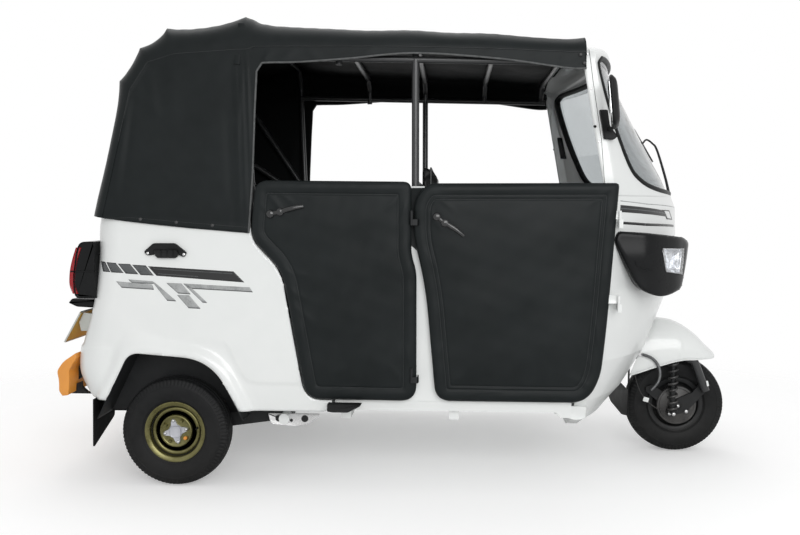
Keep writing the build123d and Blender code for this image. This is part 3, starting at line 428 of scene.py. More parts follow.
# %% Floor
FLOOR_FULL, FLOOR_END = 1.3, 3.0
FLOOR_GLOW = 0.30
floor_mesh = bpy.data.meshes.new("floor")
floor_corners = [(-40, -40, 0), (40, -40, 0), (40, 60, 0), (-40, 60, 0)]
floor_mesh.from_pydata(floor_corners, [], [(0, 1, 2, 3)])
floor = bpy.data.objects.new("floor", floor_mesh)
studio.collection.objects.link(floor)
floor_paper = bpy.data.materials.new("floor_paper")
floor_paper.use_nodes = True
paper = floor_paper.node_tree
seen_by_camera = node(paper, "LightPath").outputs["Is Camera Ray"]
glow = math_node(paper, "MULTIPLY", seen_by_camera, FLOOR_GLOW)
floor_place = node(paper, "TexCoord").outputs["Object"]
oval = node(paper, "Mapping", {"Vector": floor_place, "Scale": (0.80, 1.0, 0.0)})
away = node(paper, "VectorMath", {0: oval.outputs["Vector"]}, operation="LENGTH")
floor_fade = node(
    paper, "MapRange",
    {"Value": away.outputs["Value"], "From Min": FLOOR_FULL, "From Max": FLOOR_END,
     "To Min": 1.0, "To Max": 0.0},
    interpolation_type="SMOOTHERSTEP")
feed(paper, paper.nodes["Principled BSDF"], {
    "Base Color": (0.86, 0.86, 0.86, 1), "Roughness": 0.9, "Specular IOR Level": 0.0,
    "Emission Color": (1, 1, 1, 1), "Emission Strength": glow,
    "Alpha": floor_fade.outputs["Result"]})
floor_mesh.materials.append(floor_paper)

# %% World: white to the camera and in reflections, dimmer as a light
AMBIENT = 0.58
world = bpy.data.worlds.new("studio")
studio.world = world
world.use_nodes = True
sky = world.node_tree
rays = node(sky, "LightPath").outputs
seen = math_node(sky, "MAXIMUM", rays["Is Camera Ray"], rays["Is Glossy Ray"])
seen = math_node(sky, "MAXIMUM", seen, rays["Is Transmission Ray"])
level = node(sky, "MapRange", {"Value": seen, "To Min": AMBIENT, "To Max": 1.0})
feed(sky, sky.nodes["Background"],
     {"Color": (1, 1, 1, 1), "Strength": level.outputs["Result"]})


# %% Lamps
def lamp(name, place_at, aim, size, power):
    """A rectangular area lamp at a place, turned so that its -Z axis points at aim."""
    data = bpy.data.lights.new(name, "AREA")
    data.shape, data.size, data.size_y, data.energy = "RECTANGLE", size[0], size[1], power
    thing = bpy.data.objects.new(name, data)
    studio.collection.objects.link(thing)
    thing.location = place_at
    direction = Vector(aim) - thing.location
    thing.rotation_euler = direction.to_track_quat("-Z", "Y").to_euler()


lamp("side_lamp", (1.2, -5.5, 2.4), (0.0, 0.0, 0.8), (4.0, 2.4), 150)
lamp("roof_lamp", (-0.4, 0.6, 4.2), (0, 0, 1), (3.0, 3.0), 45)
studio.view_settings.view_transform = "Standard"
print("ambient", AMBIENT)

# %% [markdown]
# ## Effects shared by the finishes
# Real surfaces drift in tone, and are never equally glossy all over. Four small node groups
# make those effects once: a slow drift between two tones, the pebble grain of vinyl, the fine
# ripple of sprayed paint, and the dust that settles low down.


# %% Node group helpers
def effect(name, inputs, outputs):
    """Start a shader node group that takes a Position and its other inputs, by name and
    default. Return it with its input sockets and its end node."""
    tree = bpy.data.node_groups.new(name, "ShaderNodeTree")
    tree.interface.new_socket("Position", in_out="INPUT", socket_type="NodeSocketVector")
    for label, value in inputs.items():
        kind = "NodeSocketColor" if isinstance(value, tuple) else "NodeSocketFloat"
        socket = tree.interface.new_socket(label, in_out="INPUT", socket_type=kind)
        socket.default_value = value
    for label in outputs:
        kind = "NodeSocketColor" if label == "Colour" else "NodeSocketFloat"
        tree.interface.new_socket(label, in_out="OUTPUT", socket_type=kind)
    start = tree.nodes.new("NodeGroupInput")
    return tree, start.outputs, tree.nodes.new("NodeGroupOutput")


def noise_in(tree, start, detail, factor=1.0):
    """A noise texture over the group's Position, at its Scale times a factor."""
    noise = node(tree, "TexNoise", {"Detail": detail})
    scale = math_node(tree, "MULTIPLY", start["Scale"], factor)
    feed(tree, noise, {"Scale": scale, "Vector": start["Position"]})
    return noise.outputs["Fac"]


# %% Tone drift
tone_drift, start, end = effect(
    "tone_drift", {"Scale": 5.0, "Dark": (0, 0, 0, 1), "Light": (1, 1, 1, 1)},
    ("Colour", "Patch"))
broad = noise_in(tone_drift, start, 3.0)
fine_noise = noise_in(tone_drift, start, 2.0, 7.0)
fine_part = math_node(tone_drift, "MULTIPLY", fine_noise, 0.3)
patches = math_node(tone_drift, "MULTIPLY_ADD", broad, 0.7, fine_part)
spread = node(tone_drift, "MapRange", {"Value": patches, "From Min": 0.33, "From Max": 0.67})
tones = node(tone_drift, "Mix", {"Factor": spread.outputs["Result"], "A": start["Dark"],
                                 "B": start["Light"]}, data_type="RGBA")
feed(tone_drift, end, {"Colour": tones.outputs["Result"], "Patch": spread.outputs["Result"]})
print("group", tone_drift.name)

# %% Pebble grain of vinyl
pebble_grain, start, end = effect("pebble_grain", {"Scale": 500.0}, ("Height",))
cells = node(pebble_grain, "TexVoronoi", {"Vector": start["Position"], "Scale": start["Scale"]},
             feature="DISTANCE_TO_EDGE")
flat_top = node(pebble_grain, "MapRange", {"Value": cells.outputs["Distance"],
                                           "From Max": 0.35})
soft = noise_in(pebble_grain, start, 2.0, 0.12)
height = math_node(pebble_grain, "ADD", flat_top.outputs["Result"], soft)
feed(pebble_grain, end, {"Height": height})
print("group", pebble_grain.name)

# %% Ripple of sprayed paint and of cast parts
paint_ripple, start, end = effect("paint_ripple", {"Scale": 180.0}, ("Height",))
feed(paint_ripple, end, {"Height": noise_in(paint_ripple, start, 1.5)})
print("group", paint_ripple.name)

# %% Road dust
road_dust, start, end = effect("road_dust", {"Top": 0.45, "Amount": 0.3}, ("Mask",))
up = node(road_dust, "SeparateXYZ", {0: start["Position"]}).outputs["Z"]
fall = node(road_dust, "MapRange",
            {"Value": up, "From Max": start["Top"], "To Min": 1.0, "To Max": 0.0},
            interpolation_type="SMOOTHSTEP")
specks = node(road_dust, "TexNoise",
              {"Scale": 40.0, "Detail": 6.0, "Vector": start["Position"]})
mask = math_node(road_dust, "MULTIPLY", fall.outputs["Result"], specks.outputs["Fac"])
mask = math_node(road_dust, "MULTIPLY", mask, start["Amount"])
feed(road_dust, end, {"Mask": mask})
print("group", road_dust.name)

# %% [markdown]
# ## Finishes
# Each finish is one Principled shader. Its colour drifts between two near tones, dust is laid
# over it low down, its roughness follows the same drift, and a bump gives it its grain. Numbers
# that are the same all over go straight onto the shader.

# %% Finish maker
DUST_TONE = (0.30, 0.27, 0.23, 1)
BUMP_STRENGTH = 0.6
COAT_ROUGHNESS = 0.06


def finish(name, dark, light, rough=(0.4, 0.5), grain=None, scale=180.0, depth=0.0002,
           drift=4.0, metallic=0.0, coat=0.0, specular=0.5, dust=0.12, top=0.45):
    """A material: colour between dark and light, roughness between its two values by the same
    patches, a grain group for its bump, and dust that fades out at the height top."""
    material = bpy.data.materials.new(name)
    material.use_nodes = True
    tree = material.node_tree
    place_in = node(tree, "TexCoord").outputs["Object"]
    tone = node(tree, "Group", {"Scale": drift, "Dark": (*dark, 1), "Light": (*light, 1),
                                "Position": place_in}, node_tree=tone_drift)
    colour = tone.outputs["Colour"]
    if dust:
        settled = node(tree, "Group", {"Top": top, "Amount": dust, "Position": place_in},
                       node_tree=road_dust)
        over = node(tree, "Mix", {"B": DUST_TONE, "Factor": settled.outputs["Mask"],
                                  "A": colour}, data_type="RGBA")
        colour = over.outputs["Result"]
    gloss = node(tree, "MapRange", {"To Min": rough[0], "To Max": rough[1],
                                    "Value": tone.outputs["Patch"]})
    looks = {"Base Color": colour, "Roughness": gloss.outputs["Result"], "Metallic": metallic,
             "Specular IOR Level": specular, "Coat Weight": coat,
             "Coat Roughness": COAT_ROUGHNESS}
    if grain is not None:
        texture = node(tree, "Group", {"Scale": scale, "Position": place_in}, node_tree=grain)
        bump = node(tree, "Bump", {"Strength": BUMP_STRENGTH, "Distance": depth,
                                   "Height": texture.outputs["Height"]})
        looks["Normal"] = bump.outputs["Normal"]
    feed(tree, tree.nodes["Principled BSDF"], looks)
    return material


# %% Paints
white_paint = finish("white_paint", (0.745, 0.765, 0.755), (0.79, 0.805, 0.795), (0.30, 0.38),
                     paint_ripple, 130, 0.00006, drift=1.6, coat=0.45, dust=0.05)
under_paint = finish("under_paint", (0.50, 0.51, 0.50), (0.58, 0.59, 0.58), (0.5, 0.65),
                     paint_ripple, 160, 0.0001, dust=0.35)
black_paint = finish("black_paint", (0.012, 0.013, 0.014), (0.022, 0.023, 0.024), (0.38, 0.52),
                     paint_ripple, 220, 0.0001, dust=0.06, specular=0.18)
frame_black = finish("frame_black", (0.020, 0.021, 0.022), (0.032, 0.033, 0.034), (0.28, 0.38),
                     paint_ripple, 300, 0.00005, dust=0.0, specular=0.5)
amber_paint = finish("amber_paint", (0.70, 0.27, 0.035), (0.80, 0.33, 0.05), (0.30, 0.42),
                     paint_ripple, 150, 0.00008, coat=0.3, dust=0.08)
plate_paint = finish("plate_paint", (0.55, 0.33, 0.03), (0.68, 0.42, 0.05), (0.4, 0.5),
                     paint_ripple, 90, 0.0001, dust=0.15, top=0.8)
plate_back = finish("plate_back", (0.42, 0.43, 0.40), (0.52, 0.53, 0.50), (0.35, 0.5),
                    paint_ripple, 90, 0.0001, metallic=0.6, dust=0.15, top=0.8)
rim_zinc = finish("rim_zinc", (0.095, 0.088, 0.030), (0.19, 0.178, 0.075), (0.22, 0.38),
                  paint_ripple, 60, 0.0001, drift=14, metallic=0.85, dust=0.08)
print("paints made")

# %% Metals
bright_steel = finish("bright_steel", (0.50, 0.50, 0.50), (0.66, 0.66, 0.66), (0.22, 0.36),
                      paint_ripple, 260, 0.00005, drift=30, metallic=1.0, dust=0.1)
cast_alloy = finish("cast_alloy", (0.36, 0.37, 0.38), (0.52, 0.53, 0.55), (0.38, 0.52),
                    paint_ripple, 420, 0.0002, drift=18, metallic=0.8, dust=0.15)
hub_alloy = finish("hub_alloy", (0.42, 0.43, 0.46), (0.55, 0.56, 0.60), (0.30, 0.45),
                   paint_ripple, 300, 0.0001, drift=24, metallic=0.55, dust=0.05)
dark_steel = finish("dark_steel", (0.035, 0.035, 0.036), (0.07, 0.07, 0.07), (0.35, 0.55),
                    paint_ripple, 260, 0.0001, drift=20, metallic=0.5, dust=0.2)
latch_black = finish("latch_black", (0.006, 0.0065, 0.007), (0.012, 0.0125, 0.013), (0.14, 0.22),
                     paint_ripple, 400, 0.00005, dust=0.0, specular=0.6)
conduit_steel = finish("conduit_steel", (0.10, 0.102, 0.105), (0.20, 0.205, 0.21), (0.30, 0.42),
                       paint_ripple, 400, 0.00005, drift=30, metallic=0.8, dust=0.05)
print("metals made")

# %% Vinyls, rubbers and plastics
vinyl = finish("vinyl", (0.0090, 0.0112, 0.0115), (0.0135, 0.0162, 0.0168), (0.34, 0.46),
               pebble_grain, 620, 0.00012, drift=3.0, specular=0.11, dust=0.0)
vinyl_lining = finish("vinyl_lining", (0.0035, 0.004, 0.0042), (0.006, 0.0068, 0.007),
                      (0.6, 0.75), pebble_grain, 700, 0.0001, specular=0.08, dust=0.0)
vinyl_edge = finish("vinyl_edge", (0.045, 0.048, 0.048), (0.12, 0.125, 0.125), (0.35, 0.6),
                    pebble_grain, 420, 0.0008, drift=60, specular=0.4, dust=0.0)
seat_vinyl = finish("seat_vinyl", (0.012, 0.012, 0.012), (0.02, 0.02, 0.02), (0.42, 0.55),
                    pebble_grain, 480, 0.00018, specular=0.25, dust=0.05)
thread = finish("thread", (0.03, 0.032, 0.033), (0.055, 0.057, 0.058), (0.5, 0.6),
                paint_ripple, 900, 0.0002, dust=0.0)
tyre_rubber = finish("tyre_rubber", (0.0085, 0.009, 0.0095), (0.015, 0.0155, 0.016),
                     (0.42, 0.60), paint_ripple, 500, 0.0002, drift=9, specular=0.13, dust=0.03)
flap_rubber = finish("flap_rubber", (0.007, 0.007, 0.0075), (0.012, 0.012, 0.0125),
                     (0.45, 0.6), paint_ripple, 300, 0.0003, specular=0.10, dust=0.02)
seal_rubber = finish("seal_rubber", (0.008, 0.0085, 0.009), (0.013, 0.014, 0.014),
                     (0.38, 0.5), paint_ripple, 400, 0.0001, specular=0.10, dust=0.0)
black_plastic = finish("black_plastic", (0.008, 0.0085, 0.009), (0.014, 0.0145, 0.015),
                       (0.40, 0.52), pebble_grain, 900, 0.0001, specular=0.16, dust=0.0)
lamp_plastic = finish("lamp_plastic", (0.006, 0.0065, 0.007), (0.010, 0.0105, 0.011),
                      (0.22, 0.32), paint_ripple, 200, 0.00004, specular=0.14, dust=0.0)
print("vinyls made")

# %% Lenses and glass
GLASS_IOR = 1.45


def clear_finish(name, tint, weight, rough):
    """Glass or a lens: transmission set plain on the shader, with a tint that drifts a little."""
    material = finish(name, tuple(0.94 * v for v in tint), tint, (rough, rough + 0.02),
                      dust=0.0)
    feed(material.node_tree, material.node_tree.nodes["Principled BSDF"],
         {"Transmission Weight": weight, "IOR": GLASS_IOR})
    return material


screen_glass = clear_finish("screen_glass", (0.48, 0.51, 0.52), 1.0, 0.0)
lamp_glass = clear_finish("lamp_glass", (0.92, 0.93, 0.94), 0.9, 0.03)
red_lens = clear_finish("red_lens", (0.50, 0.012, 0.02), 0.35, 0.08)
mirror_face = finish("mirror_face", (0.80, 0.81, 0.82), (0.86, 0.87, 0.88), (0.02, 0.05),
                     metallic=1.0, dust=0.0)
reflector = finish("reflector", (0.70, 0.71, 0.73), (0.85, 0.86, 0.88), (0.10, 0.2),
                   paint_ripple, 90, 0.0003, metallic=0.9, dust=0.0)
print("materials", len(bpy.data.materials))

# %% [markdown]
# ## Brake hose and wheel cable
# Two thin lines run beside the front wheel and turn with it: an armoured brake hose that
# arches out of the mudguard and dives to the brake plate, and a thin cable behind it. Each
# follows one smooth spline through the same points as its packed tube. The hose is a ribbed
# sleeve, so its rings are modelled: its radius rises and falls along its length.

# %% Hose and cable routes
HOSE_LENGTH, RIB_PITCH = 0.2167, 0.0042
hose_route = np.array([
    (-0.168, -0.1373, 0.434), (-0.132, -0.142, 0.427), (-0.100, -0.141, 0.396),
    (-0.086, -0.134, 0.352), (-0.092, -0.118, 0.308), (-0.114, -0.096, 0.276),
]) + (FRONT, 0, 0)
cable_route = np.array([
    (-0.190, -0.118, 0.352), (-0.180, -0.112, 0.310), (-0.160, -0.104, 0.264),
    (-0.126, -0.094, 0.222), (-0.082, -0.086, 0.190), (-0.042, -0.080, 0.172),
]) + (FRONT, 0, 0)


def spline_curve(name, route, bevel):
    """One open NURBS spline of order 3 with the route's points as its control points."""
    data = bpy.data.curves.new(name, "CURVE")
    data.dimensions = "3D"
    data.resolution_u = 16
    data.bevel_depth = bevel
    data.bevel_resolution = 3
    data.use_fill_caps = True
    spline = data.splines.new("NURBS")
    spline.points.add(len(route) - 1)
    spline.points.foreach_set("co", np.column_stack([route, np.ones(len(route))]).ravel())
    spline.order_u = 3
    spline.use_endpoint_u = True
    thing = bpy.data.objects.new(name, data)
    studio.collection.objects.link(thing)
    return thing


def spline_points(route):
    """The points of the route's spline, read back from a curve with no bevel."""
    guide = spline_curve("guide", route, 0.0)
    mesh = bpy.data.meshes.new_from_object(guide)
    points = np.zeros(len(mesh.vertices) * 3, np.float32)
    mesh.vertices.foreach_get("co", points)
    bpy.data.objects.remove(guide)
    bpy.data.meshes.remove(mesh)
    return points.reshape(-1, 3).astype(float)


# %% Make the hose and the cable
hose_line = evenly(spline_points(hose_route), step=0.0007)
hose_run = np.linspace(0, 1, len(hose_line)) * HOSE_LENGTH
hose_ribs = 0.0062 + 0.0006 * np.sin(2 * np.pi * hose_run / RIB_PITCH)
brake_hose = piece("brake_hose_sleeve", tube(hose_line, hose_ribs, 16, (0, 1, 0)), "steering",
                   conduit_steel, ["brake_hose"])

wheel_cable = spline_curve("wheel_cable_line", cable_route, 0.002)
wheel_cable.data.materials.append(dark_steel)
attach(wheel_cable, "steering")
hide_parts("wheel_cable")
print("hose length", round(float(np.linalg.norm(np.diff(hose_line, axis=0), axis=1).sum()), 4))
# %% [markdown]
# ## Folds, stitches and screws
# Fabric is read by its folds and seams. A fold here is a ridge along a short line, highest in
# its middle, and a field of folds is their sum. Stitches are hundreds of tiny spindles laid end
# to end, so each has only a few faces. Screws and studs are small turned domes.


# %% Fold and ripple fields
def fold_field(points, folds):
    """Sum of ridges. Each fold is (start, end, half width, height): a point adds
    height * exp(-(distance / half width)^2) * 4s(1-s), s running along the fold's line."""
    total = np.zeros(len(points))
    for start, stop, width, height in folds:
        start, run = np.array(start, float), np.array(stop, float) - np.array(start, float)
        s = ((points - start) @ run) / (run @ run)
        gap = np.linalg.norm(points - start - np.clip(s, 0, 1)[:, None] * run, axis=1)
        s = np.clip(s, 0.02, 0.98)
        total += height * np.exp(-((gap / width) ** 2)) * 4 * s * (1 - s)
    return total


def slack(a, b, size, height, seed=0.0):
    """Slow unevenness of stretched vinyl: three crossing sine waves of near lengths."""
    return height / 3 * (
        np.sin(2 * np.pi * (a + 0.35 * b) / size + seed)
        + np.sin(2 * np.pi * (b - 0.22 * a) / (0.77 * size) + 2.1 * seed + 1.3)
        + np.sin(2 * np.pi * (a - 0.8 * b) / (1.31 * size) + 0.7 * seed + 4.0)
    )


def station_folds(station, *folds):
    """Folds written in millimetres from a station become metres in the row frame."""
    return [
        ((station + a[0] / 1000, a[1] / 1000), (station + b[0] / 1000, b[1] / 1000),
         w / 1000, h / 1000)
        for a, b, w, h in folds
    ]


# %% Stitches and studs
def beads(at, axis, across, up, rise, size, sides):
    """A closed bead at each place. Ring k lies rise[k] along the bead's axis, and its points
    are size[k] * (cos a * across + sin a * up)."""
    a = np.linspace(0, 2 * np.pi, sides, endpoint=False)[None, None, :, None]
    at, axis, across, up = (v[:, None, None] for v in (at, axis, across, up))
    rise, size = rise[None, :, None, None], size[None, :, None, None]
    points = at + rise * axis + size * (np.cos(a) * across + np.sin(a) * up)
    rings = points.shape[1]
    base = np.arange(len(points))[:, None, None] * rings * sides
    k = np.arange(sides)
    band = np.stack([k, (k + 1) % sides, (k + 1) % sides + sides, k + sides], axis=-1)
    quads = np.concatenate([band + sides * ring for ring in range(rings - 1)])[None] + base
    caps = np.stack([k[::-1], k + sides * (rings - 1)])[None] + base
    return points.reshape(-1, 3), [quads.reshape(-1, 4), caps.reshape(-1, sides)]


STITCH_PITCH, STITCH_LENGTH, STITCH_RADIUS, STITCH_FLAT = 0.007, 0.0048, 0.0007, 0.7


def stitches(path, outward, closed=False):
    """Spindles along a path: ring k of a stitch sits at its middle + length*(k/2 - 1/2), with
    radius*(0.45, 1, 0.45), laid flat against the surface whose outward direction is given."""
    at = evenly(path, step=STITCH_PITCH, closed=closed)
    along, out = heading(at, outward, closed)
    return beads(at, along, np.cross(along, out), STITCH_FLAT * out,
                 STITCH_LENGTH * np.array([-0.5, 0.0, 0.5]),
                 STITCH_RADIUS * np.array([0.45, 1.0, 0.45]), 6)


def studs(places, outward, radius, height):
    """Domed heads: ring k has radius r*(1, 0.95, 0.7, 0.3) and stands out height*(-0.2, 0.5,
    0.85, 1), with a flat crown."""
    at = np.asarray(places, float).reshape(-1, 3)
    out = unit(np.broadcast_to(np.asarray(outward, float), at.shape))
    helper = np.where(np.abs(out[:, 2:]) > 0.8, (1.0, 0, 0), (0, 0, 1.0))
    side = unit(np.cross(helper, out))
    return beads(at, out, side, np.cross(out, side), height * np.array([-0.2, 0.5, 0.85, 1]),
                 radius * np.array([1, 0.95, 0.7, 0.3]), 14)


print("one stitch", len(stitches(np.array([(0, 0, 0), (0.01, 0, 0)]), (0, 0, 1))[0]), "points")

# %% [markdown]
# ## Canopy
# The hood is one sheet of black vinyl stretched over five bows and four roof hoops. Seen from
# the side, three lines describe it: the spine where the bows stand, the straight seam at the
# top of the side panel, and the hem. The sheet is a grid: its columns follow those three lines
# from the rear hem over the bows to the front flap, and its rows go up one side, round the
# corner, across the top and down the other side. Between bows the fabric pulls in.

# %% Canopy lines: spine, seam and hem for each knot, from the rear axle
canopy_knots = (
    # spine          seam           hem
    ((-311, 1012), (-256, 1003), (-244, 1001)),
    ((-204, 1510), (-140, 1476), (-150, 989)),
    ((-123, 1631), (-74, 1577), (-60, 979)),
    ((-22, 1702), (25, 1607), (60, 967)),
    ((273, 1739), (253, 1621), (266, 950)),
    ((300, 1729), (285, 1621), (290, 948)),
    ((315, 1722), (300, 1620), (306, 1141)),
    ((328, 1718), (312, 1620), (318, 1400)),
    ((338, 1715), (322, 1620), (326, 1530)),
    ((352, 1711), (338, 1619), (346, 1560)),
    ((380, 1704), (380, 1619), (385, 1561)),
    ((470, 1697), (470, 1618), (482, 1562)),
    ((654, 1687), (654, 1616), (654, 1572)),
    ((897, 1680), (897, 1612), (897, 1589)),
    ((1190, 1663), (1190, 1602), (1190, 1567)),
    ((1418, 1644), (1418, 1590), (1418, 1534)),
    ((1500, 1648), (1500, 1588), (1500, 1526)),
)
canopy_spans = (46, 15, 12, 27, 4, 3, 3, 3, 3, 4, 8, 14, 18, 22, 18, 8)
knots = np.array(canopy_knots, float) / 1000 + (REAR, 0)
u = np.concatenate(
    [k + np.arange(n) / n for k, n in enumerate(canopy_spans)] + [[len(canopy_spans)]]
)
knot_index = np.arange(len(knots))


def along_knots(line_number):
    """One canopy line at every column: straight between the bows, where the cloth is tight."""
    values = knots[:, line_number]
    return np.stack([np.interp(u, knot_index, values[:, k]) for k in range(2)], axis=1)


spine, seam, hem = along_knots(0), along_knots(1), along_knots(2)
SMOOTH_FROM = 9
forward = u > SMOOTH_FROM
for number, values in enumerate((spine, seam, hem)):
    for k in range(2):
        values[forward, k] = smooth(u[forward], knot_index[SMOOTH_FROM:],
                                    knots[SMOOTH_FROM:, number, k])
print("columns", len(u))

# %% Sag of the cloth between the bows
span_sag = np.array([0.015, 0.010, 0.012, 0.019] + [0.0] * 12)
whole = np.clip(u.astype(int), 0, 15)
s = u - whole
bowed = np.where(whole == 0, 6.75 * s**2 * (1 - s), 4 * s * (1 - s)) * span_sag[whole]
past_bow = np.clip((u - 4) / 7.0, 0, 1)
bowed += 0.004 * np.sin(np.pi * past_bow) ** 2
tangent = unit(np.gradient(spine, axis=0))
inward = np.stack([tangent[:, 1], -tangent[:, 0]], axis=1)

# %% Canopy grid
HALF_WIDTH = 0.6295
corner_radius = np.interp(u, [0, 3, 4, 11, 16], [0.088, 0.086, 0.080, 0.074, 0.070])
leg = np.concatenate([[0, 0.012, 0.026, 0.031], np.linspace(0.06, 0.965, 30), [0.982, 0.99, 1.0]])
turn = np.linspace(0, np.pi / 2, 11)[1:]
top = np.linspace(0, 1, 15)[1:]
columns = len(u)

side_xz = hem[:, None] + leg[None, :, None] * (seam - hem)[:, None]
corner_xz = seam[:, None] + np.sin(turn)[None, :, None] * (spine - seam)[:, None]
corner_y = HALF_WIDTH - corner_radius[:, None] * (1 - np.cos(turn))[None]
top_y = (HALF_WIDTH - corner_radius)[:, None] * (1 - top)[None]
top_xz = np.broadcast_to(spine[:, None], (columns, len(top), 2))

half_xz = np.concatenate([side_xz, corner_xz, top_xz], axis=1)
half_y = np.concatenate([np.full((columns, len(leg)), HALF_WIDTH), corner_y, top_y], axis=1)
share = np.concatenate([np.zeros(len(leg)), np.sin(turn), np.ones(len(top))])
half_xz = half_xz + share[None, :, None] ** 1.5 * bowed[:, None, None] * inward[:, None]
crown = np.concatenate([np.zeros(len(leg) + len(turn)), -0.004 * np.sin(np.pi * top / 2)])
half_xz[..., 1] += crown[None] * np.interp(u, [0, 1, 2], [0, 0, 1])[:, None]
print("rows in a half", half_xz.shape[1])

# %% Folds of the side panel, the front flap and the valance
canopy_folds = station_folds(
    REAR,
    ((262, 955), (250, 1600), 9, 3.0),
    ((283, 952), (272, 1590), 7, 3.4),
    ((300, 1145), (290, 1600), 5, 2.6),
    ((232, 960), (215, 1420), 16, -2.4),
    ((250, 1240), (276, 1560), 6, 1.8),
    ((240, 1020), (284, 1180), 6, 1.6),
    ((-140, 1465), (-215, 1060), 14, 2.8),
    ((-120, 1460), (-180, 1080), 12, -1.8),
    ((-140, 1470), (60, 1300), 18, 1.5),
    ((25, 1600), (10, 1200), 26, 1.3),
    ((-74, 1570), (-40, 1330), 18, 1.6),
    ((-190, 1010), (-60, 1090), 14, 1.4),
    ((-30, 990), (40, 1080), 14, 1.4),
    ((120, 975), (180, 1070), 14, 1.6),
    ((210, 960), (236, 1080), 9, 1.8),
    ((253, 1615), (150, 1480), 14, 1.5),
    ((350, 1562), (380, 1612), 8, 2.2),
    ((410, 1566), (470, 1610), 12, 1.8),
    ((560, 1570), (500, 1612), 14, 1.6),
    ((700, 1580), (760, 1612), 14, 1.4),
    ((900, 1588), (1000, 1606), 10, 1.2),
    ((1130, 1574), (1180, 1600), 12, 1.6),
    ((1290, 1556), (1350, 1592), 12, 1.8),
    ((1400, 1540), (1440, 1588), 10, 2.4),
    ((1450, 1530), (1492, 1580), 10, -2.0),
)
flat_side = half_xz[:, : len(leg)].reshape(-1, 2)
ridge = fold_field(flat_side, canopy_folds) + slack(flat_side[:, 0], flat_side[:, 1], 0.31, 0.0016)
ridge = ridge.reshape(columns, len(leg))
fade = np.minimum(leg / 0.03, 1)[None]
hem_band = np.where(leg < 0.029, 0.0016, 0.0)[None]
seam_lap = np.where(leg > 0.975, 0.0024, 0.0)[None]
half_y[:, : len(leg)] += (ridge * (0.3 + 0.7 * fade) + hem_band * np.minimum(u, 1)[:, None]
                          + seam_lap)
half_y[:, len(leg):] += 0.0024 * np.maximum(0, 1 - share[len(leg):] * 1.4)[None]
lip = np.clip((u - 15.2) / 0.8, 0, 1)
half_xz[:, : len(leg), 1] += (0.004 * lip**2)[:, None] * (1 - leg)[None]

# %% Wrinkles of the roof and the rear face, then both halves in one sheet
def roof_ripple(a, y):
    """Ripples across the roof: tight short waves near the bows' corners, a slow drift over all."""
    return slack(a, y, 0.27, 0.0022, 1.7) + 0.0012 * np.sin(2 * np.pi * a / 0.055) * np.exp(
        -((np.abs(y) - 0.52) / 0.05) ** 2
    )


run = np.concatenate([[0], np.cumsum(np.linalg.norm(np.diff(spine, axis=0), axis=1))])
across_top = half_xz.shape[1] - len(leg)
a_run = np.broadcast_to(run[:, None], (columns, across_top))
stay_tight = 1 - np.exp(-((u[:, None] - np.round(u[:, None])) / 0.10) ** 2)
stay_tight = np.where(u[:, None] < 4.6, stay_tight, 1.0)
lift = roof_ripple(a_run, half_y[:, len(leg):]) * stay_tight * share[None, len(leg):]
half_xz[:, len(leg):] += lift[..., None] * -inward[:, None]
halves = np.stack([half_xz[..., 0], half_y, half_xz[..., 1]], axis=-1)
other = halves[:, -2::-1] * (1, -1, 1)
other_ripple = slack(a_run[:, -2::-1], other[:, : across_top - 1, 1], 0.23, 0.0015, 4.4)
other[:, : across_top - 1, 2] += other_ripple * np.minimum(
    share[None, len(leg):][:, -2::-1], 1) * (u > 4.6)[:, None] * 0.5
canopy_points = np.concatenate([halves, other], axis=1)
canopy = piece("canopy_sheet", grid(canopy_points), "body", vinyl, ["roof_canopy"],
               crease=60, wall=0.0022, lining=vinyl_lining)

# %% Canopy trims: binding, hem stitches, studs and bolts
HEM_END = 5.0
LAST_COLUMN = 16.0
STRAP_AT = 4.0
for side_name, side in SIDES:
    half = halves * (1, side, 1)
    out = (0, side, 0)
    edge = evenly(half[u >= HEM_END, 0], step=0.006)
    piece(f"canopy_binding_{side_name}", tube(edge, 0.0036, 8, (0, 1, 0)), "body", vinyl_edge)
    for label, low_u, high_u, row in (("hem", 0.15, HEM_END, 3),
                                      ("valance", HEM_END, LAST_COLUMN, 3),
                                      ("seam", 0.6, LAST_COLUMN, len(leg) - 3)):
        path = half[(u >= low_u) & (u <= high_u), row] + (0, side * 0.0012, 0)
        piece(f"canopy_stitch_{label}_{side_name}", stitches(path, out), "body", thread,
              outward=False)
    hem_studs = evenly(half[u <= HEM_END, 2], step=0.13)[1:-1] + (0, side * 0.001, 0)
    bolts = np.array([(REAR + 1.479, side * 0.6315, 1.577), (REAR + 1.492, side * 0.6315, 1.548)])
    piece(f"canopy_studs_{side_name}",
          join(studs(hem_studs, out, 0.006, 0.002), studs(bolts, out, 0.0065, 0.006)),
          "body", dark_steel, outward=False)
    strap_column = half[np.abs(u - STRAP_AT).argmin()]
    strap_path = np.linspace(strap_column[len(leg) - 6] + (0, side * 0.003, 0),
                             strap_column[len(leg) + 4] + (0, side * 0.004, 0), 8)
    piece(f"canopy_tab_{side_name}", strip(strap_path, box_section(0.022, 0.003), (1, 0, 0)),
          "body", vinyl)
print("canopy trimmed")

# %% [markdown]
# ## Doors
# Each half door is a flat steel frame in a padded vinyl cover. The cover rolls over the rim,
# is pulled down by a stitched line a hand's width inside it, and swells between the lines.
# Every point is found by its distance from the door's outline, so that the roll and the line
# follow the outline exactly, whatever its shape.

